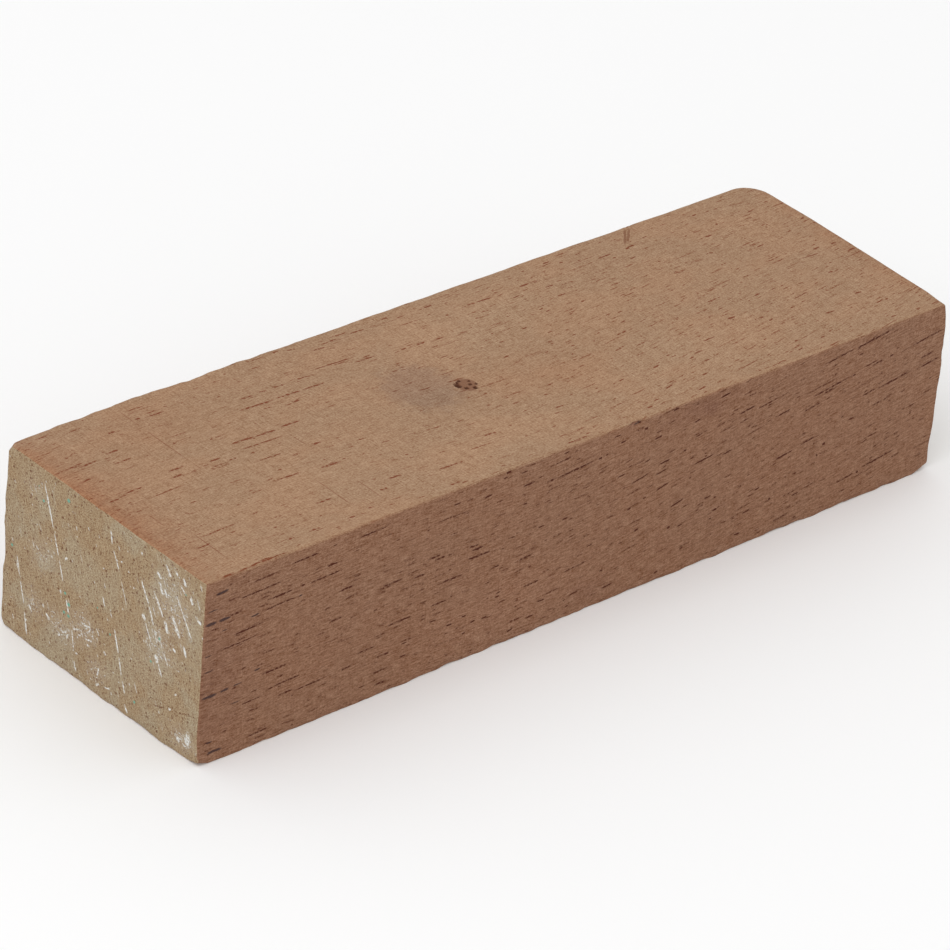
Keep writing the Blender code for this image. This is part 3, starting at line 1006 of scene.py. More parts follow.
def placed_lines(tree, vector, lines, turn=None, hard=0.3, thick=1.5):
    """The mask of a list of placed lines: 1 in the middle of a line, 0 off it."""
    nearest = 9.0
    for x0, y0, x1, y1, width, dark in lines:
        if turn:
            x0, y0 = turn(x0, y0)
            x1, y1 = turn(x1, y1)
        half = 0.5 * abs(x1 - x0) + 0.12
        stretch = (1.0 / half, 2.0 / (thick * width), 0.0)
        middle = (0.5 * (x0 + x1), 0.5 * (y0 + y1))
        shift = (-middle[0] * stretch[0], -middle[1] * stretch[1], 0.85 * (1.0 - dark))
        nearest = place_group(
            tree, "Pore Line", vector=vector, stretch=stretch, shift=shift, others=nearest
        )["Nearest"]
    return ramp(tree, nearest, 1.0, hard)


def strokes(tree, vector, lines, hard=0.35):
    """The mask of a list of strokes of any slant: 1 in the middle of a stroke, 0 off it."""
    x, y, _ = split(tree, vector)
    running = combine(tree, x, y, 9.0)
    for x0, y0, x1, y1, width, strong in lines:
        middle = (0.5 * (x0 + x1), 0.5 * (y0 + y1), 0.0)
        turn = (0.0, 0.0, math.atan2(y1 - y0, x1 - x0))
        half = (0.5 * math.hypot(x1 - x0, y1 - y0) + 0.35 * width, 0.6 * width, 1.0)
        running = place_group(
            tree, "Stroke", vector=running, middle=middle, turn=turn, half=half, faint=0.6 * (1.0 - strong)
        )["Vector"]
    return ramp(tree, split(tree, running)[2], 1.0, hard)


def along_grain(flow):
    """Turns a place on the face into along and level for the straightened grain."""

    def turn(along, down):
        return along, level_of(along, down, flow)

    return turn


def ragged_vector(tree, vector, amount, along=0.9, across=0.7):
    """The vector with a small sideways wander, so that a placed line isn't ruled."""
    wander = noise(
        tree, vector_maths(tree, "MULTIPLY", vector, (1.0 / along, 1.0 / across, 0.0)), detail=2.0
    )
    return vector_maths(
        tree, "ADD", vector,
        combine(tree, 0.0, maths(tree, "MULTIPLY", maths(tree, "SUBTRACT", wander, 0.5), amount))
    )


def wood_material(name, roughness):
    material = bpy.data.materials.new(name)
    material.use_nodes = True
    tree = material.node_tree
    shader = tree.nodes["Principled BSDF"]
    shader.inputs["Roughness"].default_value = roughness
    shader.inputs["Specular IOR Level"].default_value = 0.12
    return material, tree, shader


def finish_material(tree, shader, colour, height, depth, roughness):
    """Joins colour, relief and roughness to the shader."""
    bump = node(tree, "ShaderNodeBump")
    bump.inputs["Strength"].default_value = 1.0
    bump.inputs["Distance"].default_value = depth
    feed(tree, bump.inputs["Height"], height)
    feed(tree, shader.inputs["Normal"], bump.outputs[0])
    feed(tree, shader.inputs["Base Color"], colour)
    feed(tree, shader.inputs["Roughness"], roughness)


TOP_FLOW = {
    "left_slope": 0.06, "middle_start": 17.0, "middle_slope": -0.06, "right_start": 78.0,
    "right_slope": 0.18, "fan": 0.6
}
FRONT_FLOW = {
    "left_slope": 0.03, "middle_start": 34.0, "middle_slope": -0.02, "right_start": 66.0,
    "right_slope": 0.14, "fan": 0.0
}


def top_material(colours):
    material, tree, shader = wood_material("top_wood", 0.62)
    face = face_vector(tree, "wide")
    grain = place_group(tree, "Grain Flow", vector=face, **TOP_FLOW)["Vector"]
    x, y, _ = split(tree, face)
    open_pores = maths(
        tree, "ADD", ramp(tree, x, 50.0, 95.0, 0.55, 1.15),
        maths(tree, "ADD", ramp(tree, x, 134.0, 144.0, 0.0, 0.8), ramp(tree, x, 10.0, 2.0, 0.0, 0.8))
    )
    wood = place_group(
        tree, "Long Grain", face=face, grain=grain, wood=colours.wide_face,
        warm=[c * s for c, s in zip(colours.wide_face, (1.0, 0.95, 0.92))],
        pore=colours.wide_pore, seed=1.0, chatter=0.62, fibre=0.62, pores=open_pores, speckle=0.78,
    )
    colour = wood["Color"]

    patch = place_group(
        tree, "Soft Patch", vector=face, middle=(60.6, 20.6, 0.0), reach=(9.0, 10.0, 1.0), ragged=0.5
    )["Mask"]
    colour = blend(tree, ramp(tree, patch, 0.0, 0.6, 0.0, 0.9), colour, colours.halo, "MULTIPLY")
    for middle, reach, strength in (
        ((80.5, 27.0, 0), (17.0, 9.0, 1), 0.35), ((1.0, 24.0, 0), (9.0, 34.0, 1), 0.8),
        ((-0.5, 22.0, 0), (4.5, 34.0, 1), 1.0), ((20.0, 8.0, 0), (16.0, 9.0, 1), 0.45),
        ((147.0, 24.0, 0), (6.0, 34.0, 1), 1.0)
    ):
        patch = place_group(tree, "Soft Patch", vector=face, middle=middle, reach=reach, ragged=0.6)["Mask"]
        colour = blend(
            tree, maths(tree, "MULTIPLY", patch, strength), colour, colours.red_patch, "MULTIPLY"
        )

    lines = placed_lines(
        tree, ragged_vector(tree, grain, 0.30, 0.7, 0.5), TOP_PORES, along_grain(TOP_FLOW), 0.45, 1.4
    )
    beads = ramp(
        tree, noise(tree, vector_maths(tree, "MULTIPLY", grain, (1.7, 0.8, 0.0)), detail=2.0), 0.38, 0.54,
        0.35, 1.0
    )
    dashes = strokes(tree, ragged_vector(tree, combine(tree, x, y), 0.25, 0.7, 0.5), TOP_DASHES)
    lines = maths(tree, "MAXIMUM", maths(tree, "MULTIPLY", lines, beads), dashes)
    colour = blend(tree, maths(tree, "MULTIPLY", lines, 0.97), colour, colours.wide_pore)

    cross = strokes(tree, ragged_vector(tree, combine(tree, x, y), 0.12), TOP_CROSS_MARKS)
    colour = blend(tree, maths(tree, "MULTIPLY", cross, 0.5), colour, colours.wide_pore)

    scratch = strokes(tree, ragged_vector(tree, combine(tree, x, y), 0.3), TOP_SCRATCH)
    colour = blend(tree, maths(tree, "MULTIPLY", scratch, 0.75), colour, (0.200, 0.082, 0.040))
    for middle, reach, strength in TOP_BRIGHT_PATCHES:
        patch = place_group(tree, "Soft Patch", vector=face, middle=middle, reach=reach, ragged=0.6)["Mask"]
        colour = blend(
            tree, maths(tree, "MULTIPLY", patch, strength), colour, (1.05, 1.07, 1.08), "MULTIPLY"
        )
    nick = place_group(
        tree, "Soft Patch", vector=face, middle=(81.3, 45.2, 0.0), reach=(1.3, 0.9, 1.0), ragged=0.5
    )["Mask"]
    colour = blend(tree, ramp(tree, nick, 0.1, 0.5, 0.0, 0.85), colour, colours.ink_stain)

    knot = place_group(
        tree, "Soft Patch", vector=face, middle=(*KNOT_MIDDLE, 0.0), reach=(2.7, 2.7, 1.0), ragged=0.5
    )["Mask"]
    colour = blend(tree, ramp(tree, knot, 0.12, 0.55, 0.0, 0.85), colour, (0.205, 0.090, 0.048))
    rings = [
        (px - rx, py, px + rx, py, ry * 1.7, min(1.0, 0.5 + depth)) for px, py, rx, ry, depth in KNOT_PITS
    ]
    pits = placed_lines(tree, ragged_vector(tree, face, 0.50, 0.35, 0.35), rings, None, 0.2, 1.8)
    colour = blend(tree, maths(tree, "MULTIPLY", pits, 0.88), colour, colours.knot)

    height = maths(
        tree, "SUBTRACT", wood["Height"], maths(tree, "ADD", lines, maths(tree, "MULTIPLY", cross, 0.4))
    )
    roughness = maths(tree, "MULTIPLY_ADD", wood["Pore Mask"], 0.2, 0.62)
    finish_material(tree, shader, colour, height, 0.00004, roughness)
    return material


def front_material(colours):
    material, tree, shader = wood_material("front_wood", 0.66)
    face = face_vector(tree, "narrow")
    grain = place_group(tree, "Grain Flow", vector=face, **FRONT_FLOW)["Vector"]
    wood = place_group(
        tree, "Long Grain", face=face, grain=grain, wood=colours.narrow_face,
        warm=[c * 0.95 for c in colours.narrow_face],
        pore=colours.narrow_pore, seed=4.0, chatter=0.45, fibre=1.2, pores=0.85, speckle=1.05,
    )
    colour = wood["Color"]
    for middle, reach, strength in (
        ((74.5, 27.5, 0), (7.0, 3.0, 1), 0.4), ((96.5, 3.5, 0), (2.6, 2.0, 1), 0.5),
        ((0.0, 15.0, 0), (14.0, 24.0, 1), 0.5), ((94.0, 2.8, 0), (12.0, 3.4, 1), 0.5),
        ((81.2, 0.8, 0), (1.6, 1.1, 1), 1.6)
    ):
        patch = place_group(tree, "Soft Patch", vector=face, middle=middle, reach=reach, ragged=0.7)["Mask"]
        colour = blend(
            tree, maths(tree, "MULTIPLY", patch, strength), colour, (0.80, 0.74, 0.78), "MULTIPLY"
        )

    patch = place_group(
        tree, "Soft Patch", vector=face, middle=(57.0, 25.0, 0.0), reach=(24.0, 10.0, 1.0), ragged=0.6
    )["Mask"]
    colour = blend(tree, patch, colour, (1.08, 1.08, 1.09), "MULTIPLY")

    wandering = ragged_vector(tree, grain, 0.28, 0.7, 0.5)
    lines = placed_lines(tree, wandering, FRONT_PORES, along_grain(FRONT_FLOW), 0.5, 1.4)
    beads = ramp(
        tree, noise(tree, vector_maths(tree, "MULTIPLY", grain, (1.7, 0.8, 0.0)), detail=2.0), 0.38, 0.54,
        0.40, 1.0
    )
    lines = maths(tree, "MULTIPLY", lines, beads)
    x, y, _ = split(tree, face)
    flat = ragged_vector(tree, combine(tree, x, y), 0.22, 0.7, 0.5)
    lines = maths(tree, "MAXIMUM", lines, strokes(tree, flat, FRONT_DASHES))
    colour = blend(tree, lines, colour, colours.narrow_pore)
    inked = strokes(tree, flat, INKED_PORES, 0.3)
    colour = blend(tree, maths(tree, "MULTIPLY", inked, 0.9), colour, colours.ink_stain)

    height = maths(tree, "SUBTRACT", wood["Height"], maths(tree, "MAXIMUM", lines, inked))
    roughness = maths(tree, "MULTIPLY_ADD", wood["Pore Mask"], 0.2, 0.66)
    finish_material(tree, shader, colour, height, 0.00007, roughness)
    return material


def left_end_material(colours):
    material, tree, shader = wood_material("left_end_wood", 0.75)
    face = face_vector(tree, "end")
    wood = place_group(
        tree, "End Grain", face=face, wood=colours.end_face,
        warm=[c * s for c, s in zip(colours.end_face, (0.99, 0.92, 0.85))],
        pore=colours.end_pore, seed=2.0,
    )
    colour = wood["Color"]
    x, y, _ = split(tree, face)
    flat = combine(tree, x, y)
    for middle, reach, tint in (
        ((22.0, 10.0, 0), (17.0, 15.0, 1), (0.99, 0.955, 0.92)),
        ((0.0, 12.0, 0), (5.0, 16.0, 1), (0.93, 0.87, 0.82)),
        ((13.5, 27.0, 0), (13.0, 5.0, 1), (0.97, 0.96, 0.95)),
        ((33.0, 22.0, 0), (8.0, 6.0, 1), (0.99, 0.95, 0.92)),
    ):
        patch = place_group(tree, "Soft Patch", vector=face, middle=middle, reach=reach, ragged=0.8)["Mask"]
        colour = blend(tree, patch, colour, tint, "MULTIPLY")
    rings = strokes(tree, ragged_vector(tree, flat, 0.7, 0.5, 0.8), END_RINGS, 0.2)
    dotted = ramp(tree, noise(tree, flat, scale=2.2, detail=2.0), 0.44, 0.56)
    colour = blend(
        tree, maths(tree, "MULTIPLY", maths(tree, "MULTIPLY", rings, dotted), 0.8), colour, colours.end_pore
    )

    scratches = strokes(
        tree, ragged_vector(tree, ragged_vector(tree, flat, 0.45, 1.1, 0.7), 0.35, 0.25, 0.25),
        END_SCRATCHES
    )
    broken = ramp(tree, noise(tree, flat, scale=2.4, detail=3.0), 0.40, 0.54, 0.35, 1.0)
    scratches = maths(tree, "MULTIPLY", scratches, broken)

    patches = 0.0
    for middle, reach, strength in (
        ((38.3, 7.5, 0), (7.5, 9.5, 1), 0.85), ((42.3, 28.0, 0), (5.0, 3.0, 1), 1.1),
        ((19.0, 21.5, 0), (5.0, 4.5, 1), 1.0),
        ((14.0, 24.5, 0), (6.0, 4.0, 1), 0.9), ((7.5, 23.5, 0), (4.0, 3.5, 1), 0.75),
        ((9.0, 14.5, 0), (5.0, 4.5, 1), 0.75),
        ((36.0, 15.5, 0), (5.5, 6.0, 1), 0.95), ((22.5, 27.0, 0), (4.0, 3.0, 1), 0.8),
        ((6.0, 4.0, 0), (4.0, 4.0, 1), 0.4),
    ):
        patch = place_group(tree, "Soft Patch", vector=face, middle=middle, reach=reach, ragged=0.8)["Mask"]
        patches = maths(tree, "MAXIMUM", maths(tree, "MULTIPLY", patch, strength), patches)
    leaning = combine(tree, y, maths(tree, "SUBTRACT", x, maths(tree, "MULTIPLY", y, 0.5)))
    dust = place_group(
        tree, "Chalk Dust", vector=flat, patch=maths(tree, "MULTIPLY", patches, 0.8), seed=3.0
    )["Mask"]
    thick = maths(tree, "MULTIPLY_ADD", patches, 0.32, 0.05)
    for length, spacing, width, seed in ((3.0, 0.7, 0.26, 2.0), (0.9, 0.5, 0.26, 6.0)):
        specks = place_group(
            tree, "Pore Dashes", vector=leaning, length=length, spacing=spacing, width=width, amount=thick,
            seed=seed
        )["Mask"]
        dust = maths(tree, "MAXIMUM", dust, maths(tree, "MULTIPLY", specks, broken))
    haze = maths(tree, "MULTIPLY", patches, 0.09)
    white = maths(
        tree, "MAXIMUM",
        maths(
            tree, "MAXIMUM", maths(tree, "MULTIPLY", scratches, 0.95), maths(tree, "MULTIPLY", dust, 0.85)
        ),
        haze
    )
    colour = blend(tree, white, colour, colours.chalk)

    flecks = 0.0
    for fx, fy, across, strong in END_FLECKS:
        fleck = place_group(
            tree, "Soft Patch", vector=face, middle=(fx, fy, 0.0), reach=(across * 0.9, across * 0.85, 1.0),
            ragged=0.9
        )["Mask"]
        flecks = maths(tree, "MAXIMUM", maths(tree, "MULTIPLY", fleck, strong), flecks)
    colour = blend(tree, ramp(tree, flecks, 0.0, 0.6, 0.0, 0.95), colour, colours.fleck)

    height = maths(tree, "ADD", wood["Height"], maths(tree, "MULTIPLY", dust, 0.4))
    roughness = maths(tree, "MULTIPLY_ADD", white, 0.15, 0.72)
    finish_material(tree, shader, colour, height, 0.00007, roughness)
    return material


def plain_long_material(name, side, colours, wood, pore, flow, seed):
    """Long grain for a face with no placed marks."""
    material, tree, shader = wood_material(name, 0.66)
    face = face_vector(tree, side)
    grain = place_group(tree, "Grain Flow", vector=face, **flow)["Vector"]
    made = place_group(
        tree, "Long Grain", face=face, grain=grain, wood=wood, warm=[c * 0.94 for c in wood], pore=pore,
        seed=seed, chatter=0.8, fibre=1.0, pores=1.5,
    )
    colour = made["Color"]
    roughness = maths(tree, "MULTIPLY_ADD", made["Pore Mask"], 0.2, 0.64)
    finish_material(tree, shader, colour, made["Height"], 0.00007, roughness)
    return material


def right_end_material(colours):
    material, tree, shader = wood_material("right_end_wood", 0.75)
    face = face_vector(tree, "end")
    wood = place_group(
        tree, "End Grain", face=face, wood=colours.end_face,
        warm=[c * s for c, s in zip(colours.end_face, (0.99, 0.92, 0.85))],
        pore=colours.end_pore, seed=9.0,
    )
    patch = place_group(
        tree, "Soft Patch", vector=face, middle=(14.0, 9.0, 0.0), reach=(9.0, 7.0, 1.0), ragged=0.8
    )["Mask"]
    dust = place_group(
        tree, "Chalk Dust", vector=face, patch=maths(tree, "MULTIPLY", patch, 0.8), seed=8.0
    )["Mask"]
    colour = blend(tree, maths(tree, "MULTIPLY", dust, 0.6), wood["Color"], colours.chalk)
    roughness = maths(tree, "MULTIPLY_ADD", dust, 0.15, 0.72)
    finish_material(tree, shader, colour, wood["Height"], 0.00007, roughness)
    return material


def build_groups():
    for build in (
        build_grain_flow, build_pore_dashes, build_pore_line, build_stroke, build_long_grain,
        build_end_grain, build_soft_patch, build_chalk_dust
    ):
        build()


# ---------------------------------------------------------------- the block


def cut_square(sizes):
    """The sawn block with its six slightly slanted faces."""
    length, width, height = sizes.length, sizes.width, sizes.height
    deselect_all()
    bpy.ops.mesh.primitive_cube_add(
        size=1.0, location=(0.0, 0.0, height / 2), scale=(length, width, height)
    )
    bpy.ops.object.transform_apply(location=True, rotation=True, scale=True)
    piece = bpy.context.object
    piece.name = PIECE_NAME
    piece.data.name = PIECE_NAME
    edit(piece)
    for end in (-1, 1):
        slant = sizes.right_end_slant if end > 0 else sizes.left_end_slant
        for side in (-1, 1):
            for level in (-1, 1):
                pick_corners(
                    piece, lambda co: co.x * end > 0 and co.y * side > 0 and (co.z - height / 2) * level > 0
                )
                along = slant[0] * side * width / 2 + slant[1] * level * height / 2
                across = -sizes.back_closing * end * length / 2 if side > 0 else 0.0
                upward = -sizes.top_fall * end * length / 2 if level > 0 else 0.0
                bpy.ops.transform.translate(value=(along, across, upward))
    bpy.ops.mesh.select_all(action="SELECT")
    bpy.ops.transform.translate(value=sizes.centre)
    return piece


def break_corner(corner, reach):
    """Breaks one corner off with a slanting cut that meets its three edges at the given distances."""
    inward = [-1.0 if place > 0 else 1.0 for place in (corner.x, corner.y, corner.z - 0.015)]
    facing = Vector(inward[i] / reach[i] for i in range(3)).normalized()
    at = Vector((corner.x + inward[0] * reach[0], corner.y, corner.z))
    bpy.ops.mesh.select_all(action="SELECT")
    bpy.ops.mesh.bisect(plane_co=at, plane_no=facing, use_fill=True, clear_inner=True)
    bpy.ops.mesh.select_all(action="DESELECT")


def break_corners(piece):
    """Breaks the corners that took knocks."""
    knocks = (
        ((1, -1, -1), (0.0034, 0.0045, 0.0010)), ((-1, -1, -1), (0.0020, 0.0026, 0.0008)),
        ((-1, 1, 1), (0.0012, 0.0013, 0.0012)), ((-1, 1, -1), (0.0012, 0.0011, 0.0010)),
    )
    for sides, reach in knocks:
        body = bmesh.from_edit_mesh(piece.data)
        corner = max(
            body.verts, key=lambda v: v.co.x * sides[0] + v.co.y * sides[1] + v.co.z * sides[2]
        ).co.copy()
        break_corner(corner, reach)


def ease_edges(piece, sizes):
    """Rounds the back right corner, then eases every edge."""
    half = sizes.length / 2 * 0.9
    pick_edges(piece, lambda co: co.x > half and co.y > 0)
    bpy.ops.mesh.bevel(offset=sizes.corner_radius, segments=8, affect="EDGES")
    bpy.ops.mesh.select_all(action="DESELECT")
    bpy.ops.mesh.select_mode(type="EDGE")
    break_corners(piece)
    bpy.ops.mesh.select_mode(type="EDGE")
    bpy.ops.mesh.edges_select_sharp(sharpness=math.radians(20))
    bpy.ops.mesh.bevel(offset=sizes.eased_edge, segments=3, affect="EDGES", clamp_overlap=False)


def cut_grid(piece, sizes):
    """Cuts the faces into a fine grid for the wear."""
    inset = sizes.eased_edge * 1.5
    for axis in (0, 1, 2):
        low = cad_low[axis] + inset
        high = cad_high[axis] - inset
        step = sizes.grid if axis == 0 else sizes.grid * 0.8
        for place in even_steps(low, high, step):
            cut_across(axis, place + 0.000007)
    deselect_all()
    finer = piece.modifiers.new("finer", "SUBSURF")
    finer.subdivision_type = "SIMPLE"
    finer.levels = 2
    finer.render_levels = 2
    piece.select_set(True)
    bpy.context.view_layer.objects.active = piece
    bpy.ops.object.modifier_apply(modifier="finer")


def near_knot(middle, normal):
    """True for a face of the top close to the knot."""
    away = math.hypot(middle.x / MM - LEFT - KNOT_MIDDLE[0], BACK - middle.y / MM - KNOT_MIDDLE[1])
    return normal.z > 0.9 and away < 2.6


def near_scratch(middle, normal):
    """True for a face of the top close to the scratch at the back edge."""
    along = middle.x / MM - LEFT
    down = BACK - middle.y / MM
    return normal.z > 0.5 and down < 5.6 and abs(along + down - 119.9) < 1.6


def refine(piece):
    """Makes the grid finer where the knot and the scratch need it."""
    edit(piece)
    pick_faces(piece, near_knot)
    bpy.ops.mesh.subdivide(number_cuts=4)
    bpy.ops.mesh.select_all(action="DESELECT")
    pick_faces(piece, near_scratch)
    bpy.ops.mesh.subdivide(number_cuts=3)
    deselect_all()


def edge_nearness(points, sizes, reach):
    """1 on an edge of the block, falling to 0 a reach away from it."""
    low = np.array(cad_low)
    high = np.array(cad_high)
    gaps = np.minimum(points - low, high - points)
    gaps = np.sort(np.maximum(gaps, 0.0), axis=1)
    return smooth_step(1.0 - gaps[:, 1] / reach)


def wear(piece, sizes):
    """Wears the edges unevenly, rounds the knocked corners and leaves the saw's slight waves on the faces."""
    points = mesh_points(piece)
    edges = edge_nearness(points, sizes, 0.0022)
    weigh(piece, "edges", edges)
    push(piece, "edges", -sizes.edge_wear, texture=cloudy("edge_wear", 0.0075, 3, 1.6), middle=0.55)
    push(piece, "edges", 0.00006)
    weigh(piece, "arrises", edge_nearness(points, sizes, 0.0012))
    push(piece, "arrises", -0.00030, texture=cloudy("nicks", 0.0026, 2, 1.8), middle=0.5)
    weigh(piece, "faces", np.full(len(points), 1.0))
    push(piece, "faces", 0.00010, texture=cloudy("saw_waves", 0.011, 1), middle=0.5)

    along = points[:, 0] / MM - LEFT
    down = BACK - points[:, 1] / MM
    below = TOP - points[:, 2] / MM
    bumps = (
        (
            "low front edge",
            smooth_step((below - 26.0) / 4.0) * smooth_step((6.0 - (45.3 - down)) / 6.0) * (
                0.6 + 0.6 * smooth_step((60.0 - along) / 40.0)
            ),
            -0.00030, "Y"
        ),
        (
            "low left edge",
            smooth_step(
                (below - 24.0) / 6.0
            ) * smooth_step((5.0 - along) / 5.0) * smooth_step((42.0 - down) / 6.0),
            -0.00022, "X"
        ),
        (
            "back left edge",
            smooth_step((4.0 - down) / 4.0) * smooth_step(
                (4.0 - along) / 4.0
            ) * smooth_step((below - 4.0) / 8.0),
            0.00004, "Y"
        ),
        (
            "back edge by the left end",
            smooth_step((2.5 - down) / 2.5) * smooth_step(
                (11.0 - along) / 7.0
            ) * smooth_step((3.0 - below) / 3.0),
            -0.00034, "Z"
        ),
        (
            "back edge swell",
            smooth_step((2.5 - down) / 2.5) * np.exp(
                -((along - 22.0) / 7.0) ** 2
            ) * smooth_step((3.0 - below) / 3.0),
            0.00018, "Z"
        ),
        (
            "right end swell",
            smooth_step((along - 138.0) / 7.0) * np.exp(
                -((down - 18.0) / 11.0) ** 2
            ) * smooth_step((14.0 - below) / 12.0),
            0.00034, "X"
        ),
        (
            "front right corner",
            smooth_step(1.0 - np.hypot(np.hypot(along - 145.3, down - 45.3), below - 0.7) / 5.0), -0.00050,
            "X"
        ),
        (
            "upright edge",
            smooth_step((along - 141.0) / 4.0)
            * smooth_step((down - 41.0) / 4.0)
            * smooth_step((below - 3.0) / 4.0)
            * smooth_step((27.0 - below) / 4.0),
            0.00026, "X"
        ),
    )
    for name, weights, amount, direction in bumps:
        weigh(piece, name, weights)
        push(piece, name, amount, direction=direction)

    weigh(
        piece, "nick",
        np.exp(-((along - 81.2) / 1.0) ** 2) * smooth_step(1.0 - np.hypot(down - 45.3, below - 0.8) / 1.6)
    )
    push(piece, "nick", -0.0009)

    corners = np.zeros(len(points))
    for end, side, level, reach in (
        (1, -1, -1, 5.5), (-1, -1, -1, 4.0), (-1, 1, 1, 4.2), (-1, 1, -1, 3.6), (1, -1, 1, 2.5),
        (-1, -1, 1, 1.6)
    ):
        corner = np.array([72.6 * end, 22.6 * side, 0.3 if level < 0 else 30.3])
        corners = np.maximum(
            corners, smooth_step(1.3 - np.linalg.norm(points / MM - corner, axis=1) / reach)
        )
    weigh(piece, "corners", corners)
    rounded = piece.modifiers.new("rounded", "SMOOTH")
    rounded.vertex_group = "corners"
    rounded.factor = 0.5
    rounded.iterations = 20
    bpy.ops.object.modifier_apply(modifier="rounded")


def dent(piece, sizes):
    """Sinks the knot's pits and the scratch."""
    points = mesh_points(piece)
    along = points[:, 0] / MM - LEFT
    down = BACK - points[:, 1] / MM
    on_top = points[:, 2] > cad_high[2] - 0.004
    weights = np.zeros(len(points))
    for px, py, rx, ry, depth in KNOT_PITS:
        reach = np.hypot((along - px) / rx, (down - py) / ry)
        weights = np.maximum(weights, depth * smooth_step(1.25 - reach))
    for start, depth in ((119.5, 0.12), (120.3, 0.08)):
        fade = np.clip((5.2 - down) / 2.0, 0.0, 1.0)
        weights = np.maximum(weights, depth * fade * smooth_step(1.0 - np.abs(along + down - start) / 0.40))
    weights *= on_top
    weigh(piece, "dents", weights)
    push(piece, "dents", -sizes.dent_depth, direction="Z")


def dress(piece, colours):
    """Gives each face of the block its own wood."""
    build_groups()
    bottom_flow = dict(TOP_FLOW, left_slope=-0.03, middle_slope=0.04, right_slope=0.12)
    back_flow = dict(FRONT_FLOW, middle_slope=0.03, right_slope=0.10)
    materials = [
        top_material(colours),
        plain_long_material(
            "bottom_wood", "wide", colours, list(colours.wide_face), colours.wide_pore, bottom_flow, 11.0
        ),
        front_material(colours),
        plain_long_material(
            "back_wood", "narrow", colours, list(colours.narrow_face), colours.narrow_pore, back_flow, 14.0
        ),
        left_end_material(colours),
        right_end_material(colours),
    ]
    piece.data.materials.clear()
    for material in materials:
        piece.data.materials.append(material)
    normals = np.empty(len(piece.data.polygons) * 3, np.float32)
    piece.data.polygons.foreach_get("normal", normals)
    normals = normals.reshape(-1, 3)
    axis = np.argmax(np.abs(normals), axis=1)
    positive = normals[np.arange(len(normals)), axis] > 0
    table = {(2, True): 0, (2, False): 1, (1, False): 2, (1, True): 3, (0, False): 4, (0, True): 5}
    indices = [table[(int(a), bool(p))] for a, p in zip(axis, positive)]
    piece.data.polygons.foreach_set("material_index", indices)


class HARDWOOD_OT_block(bpy.types.Operator):
    """Cuts, eases, wears and dresses the block."""

    bl_idname = "hardwood.block"
    bl_label = "Build Block"

    def execute(self, context):
        sizes = context.scene.block_sizes
        colours = context.scene.wood_colours
        piece = cut_square(sizes)
        ease_edges(piece, sizes)
        cut_grid(piece, sizes)
        refine(piece)
        dress(piece, colours)
        wear(piece, sizes)
        dent(piece, sizes)
        deselect_all()
        piece.select_set(True)
        context.view_layer.objects.active = piece
        bpy.ops.object.shade_smooth_by_angle(angle=math.radians(35))
        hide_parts(CAD_NODE)
        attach(piece, "root")
        return {"FINISHED"}


# ---------------------------------------------------------------- the stage


def add_camera(settings):
    data = bpy.data.cameras.new("camera")
    data.sensor_width = 36.0
    data.lens = settings.lens
    data.clip_start = 0.01
    data.clip_end = 100.0
    camera = bpy.data.objects.new("camera", data)
    bpy.context.scene.collection.objects.link(camera)
    look = Vector(settings.camera_aim).to_track_quat("-Z", "Y").to_matrix()
    roll = Matrix.Rotation(settings.camera_roll, 3, "Z")
    camera.matrix_world = Matrix.Translation(settings.camera_place) @ (look @ roll).to_4x4()
    bpy.context.scene.camera = camera


def add_floor(settings):
    deselect_all()
    bpy.ops.mesh.primitive_circle_add(vertices=96, radius=3.0, fill_type="NGON", location=(0.0, 0.0, 0.0))
    floor = bpy.context.object
    floor.name = "floor"
    material = bpy.data.materials.new("floor_paint")
    material.use_nodes = True
    shader = material.node_tree.nodes["Principled BSDF"]
    shader.inputs["Base Color"].default_value = (*settings.floor_colour, 1.0)
    shader.inputs["Roughness"].default_value = 0.9
    floor.data.materials.append(material)


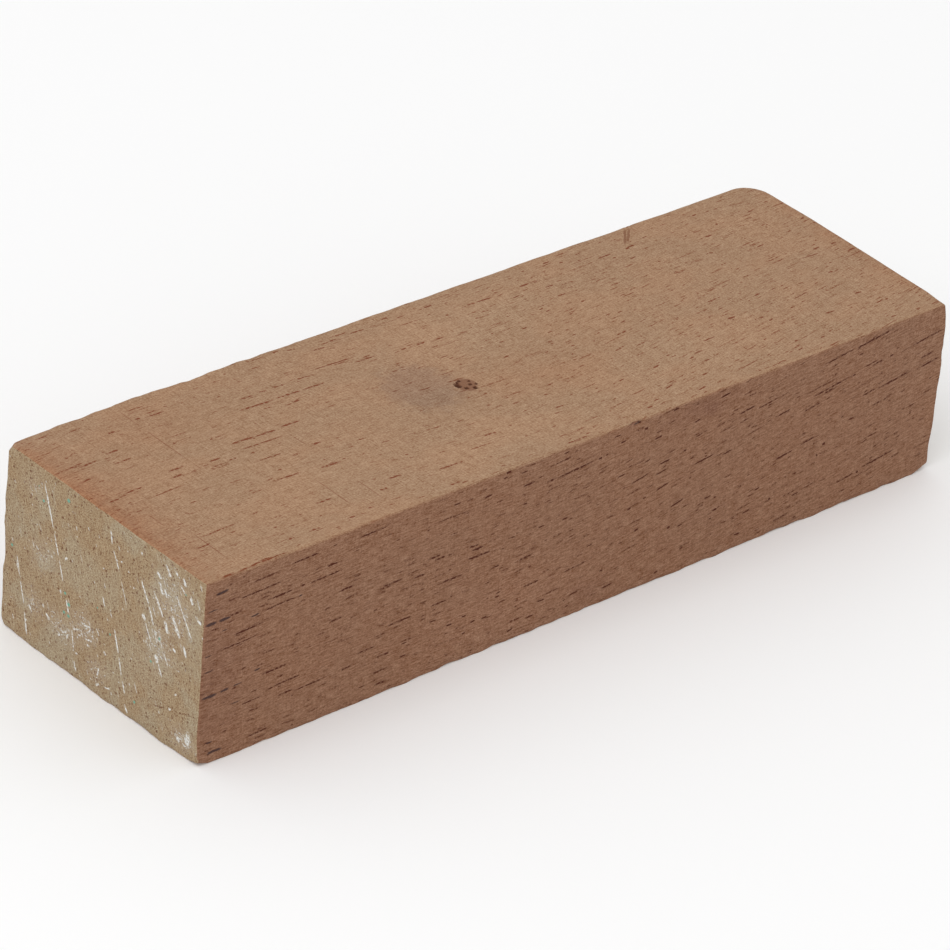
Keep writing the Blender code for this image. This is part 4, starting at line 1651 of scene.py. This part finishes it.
def add_soft_light(name, place, size, power):
    data = bpy.data.lights.new(name, "AREA")
    data.shape = "SQUARE"
    data.size = size
    data.energy = power
    light = bpy.data.objects.new(name, data)
    bpy.context.scene.collection.objects.link(light)
    facing = (-Vector(place)).to_track_quat("-Z", "Y")
    light.matrix_world = Matrix.Translation(place) @ facing.to_matrix().to_4x4()


class HARDWOOD_OT_stage(bpy.types.Operator):
    """Sets up the camera, the pale floor and the soft light."""

    bl_idname = "hardwood.stage"
    bl_label = "Set Stage"

    def execute(self, context):
        settings = context.scene.stage_settings
        add_camera(settings)
        add_floor(settings)
        add_soft_light("key", (-0.9, -0.25, 1.3), 1.2, settings.key_power)
        world = bpy.data.worlds.new("studio")
        world.use_nodes = True
        world.node_tree.nodes["Background"].inputs["Color"].default_value = (1.0, 1.0, 1.0, 1.0)
        world.node_tree.nodes["Background"].inputs["Strength"].default_value = settings.room_light
        context.scene.world = world
        context.scene.view_settings.view_transform = "Standard"
        return {"FINISHED"}


class HARDWOOD_PT_block(bpy.types.Panel):
    """Lists the block's steps and settings in the sidebar."""

    bl_idname = "HARDWOOD_PT_block"
    bl_label = "Hardwood Block"
    bl_space_type = "VIEW_3D"
    bl_region_type = "UI"
    bl_category = "Hardwood Block"

    def draw(self, context):
        layout = self.layout
        for name in ("block_sizes", "wood_colours", "stage_settings"):
            settings = getattr(context.scene, name)
            column = layout.column(align=True)
            for key in settings.__annotations__:
                column.prop(settings, key)
        layout.operator("hardwood.stage")
        layout.operator("hardwood.block")


CLASSES = (BlockSizes, WoodColours, StageSettings, HARDWOOD_OT_stage, HARDWOOD_OT_block, HARDWOOD_PT_block)


def register():
    for cls in CLASSES:
        bpy.utils.register_class(cls)
    bpy.types.Scene.block_sizes = PointerProperty(type=BlockSizes)
    bpy.types.Scene.wood_colours = PointerProperty(type=WoodColours)
    bpy.types.Scene.stage_settings = PointerProperty(type=StageSettings)


def unregister():
    del bpy.types.Scene.stage_settings
    del bpy.types.Scene.wood_colours
    del bpy.types.Scene.block_sizes
    for cls in reversed(CLASSES):
        bpy.utils.unregister_class(cls)


def main():
    register()
    bpy.ops.hardwood.stage()
    bpy.ops.hardwood.block()


if __name__ == "__main__":
    main()
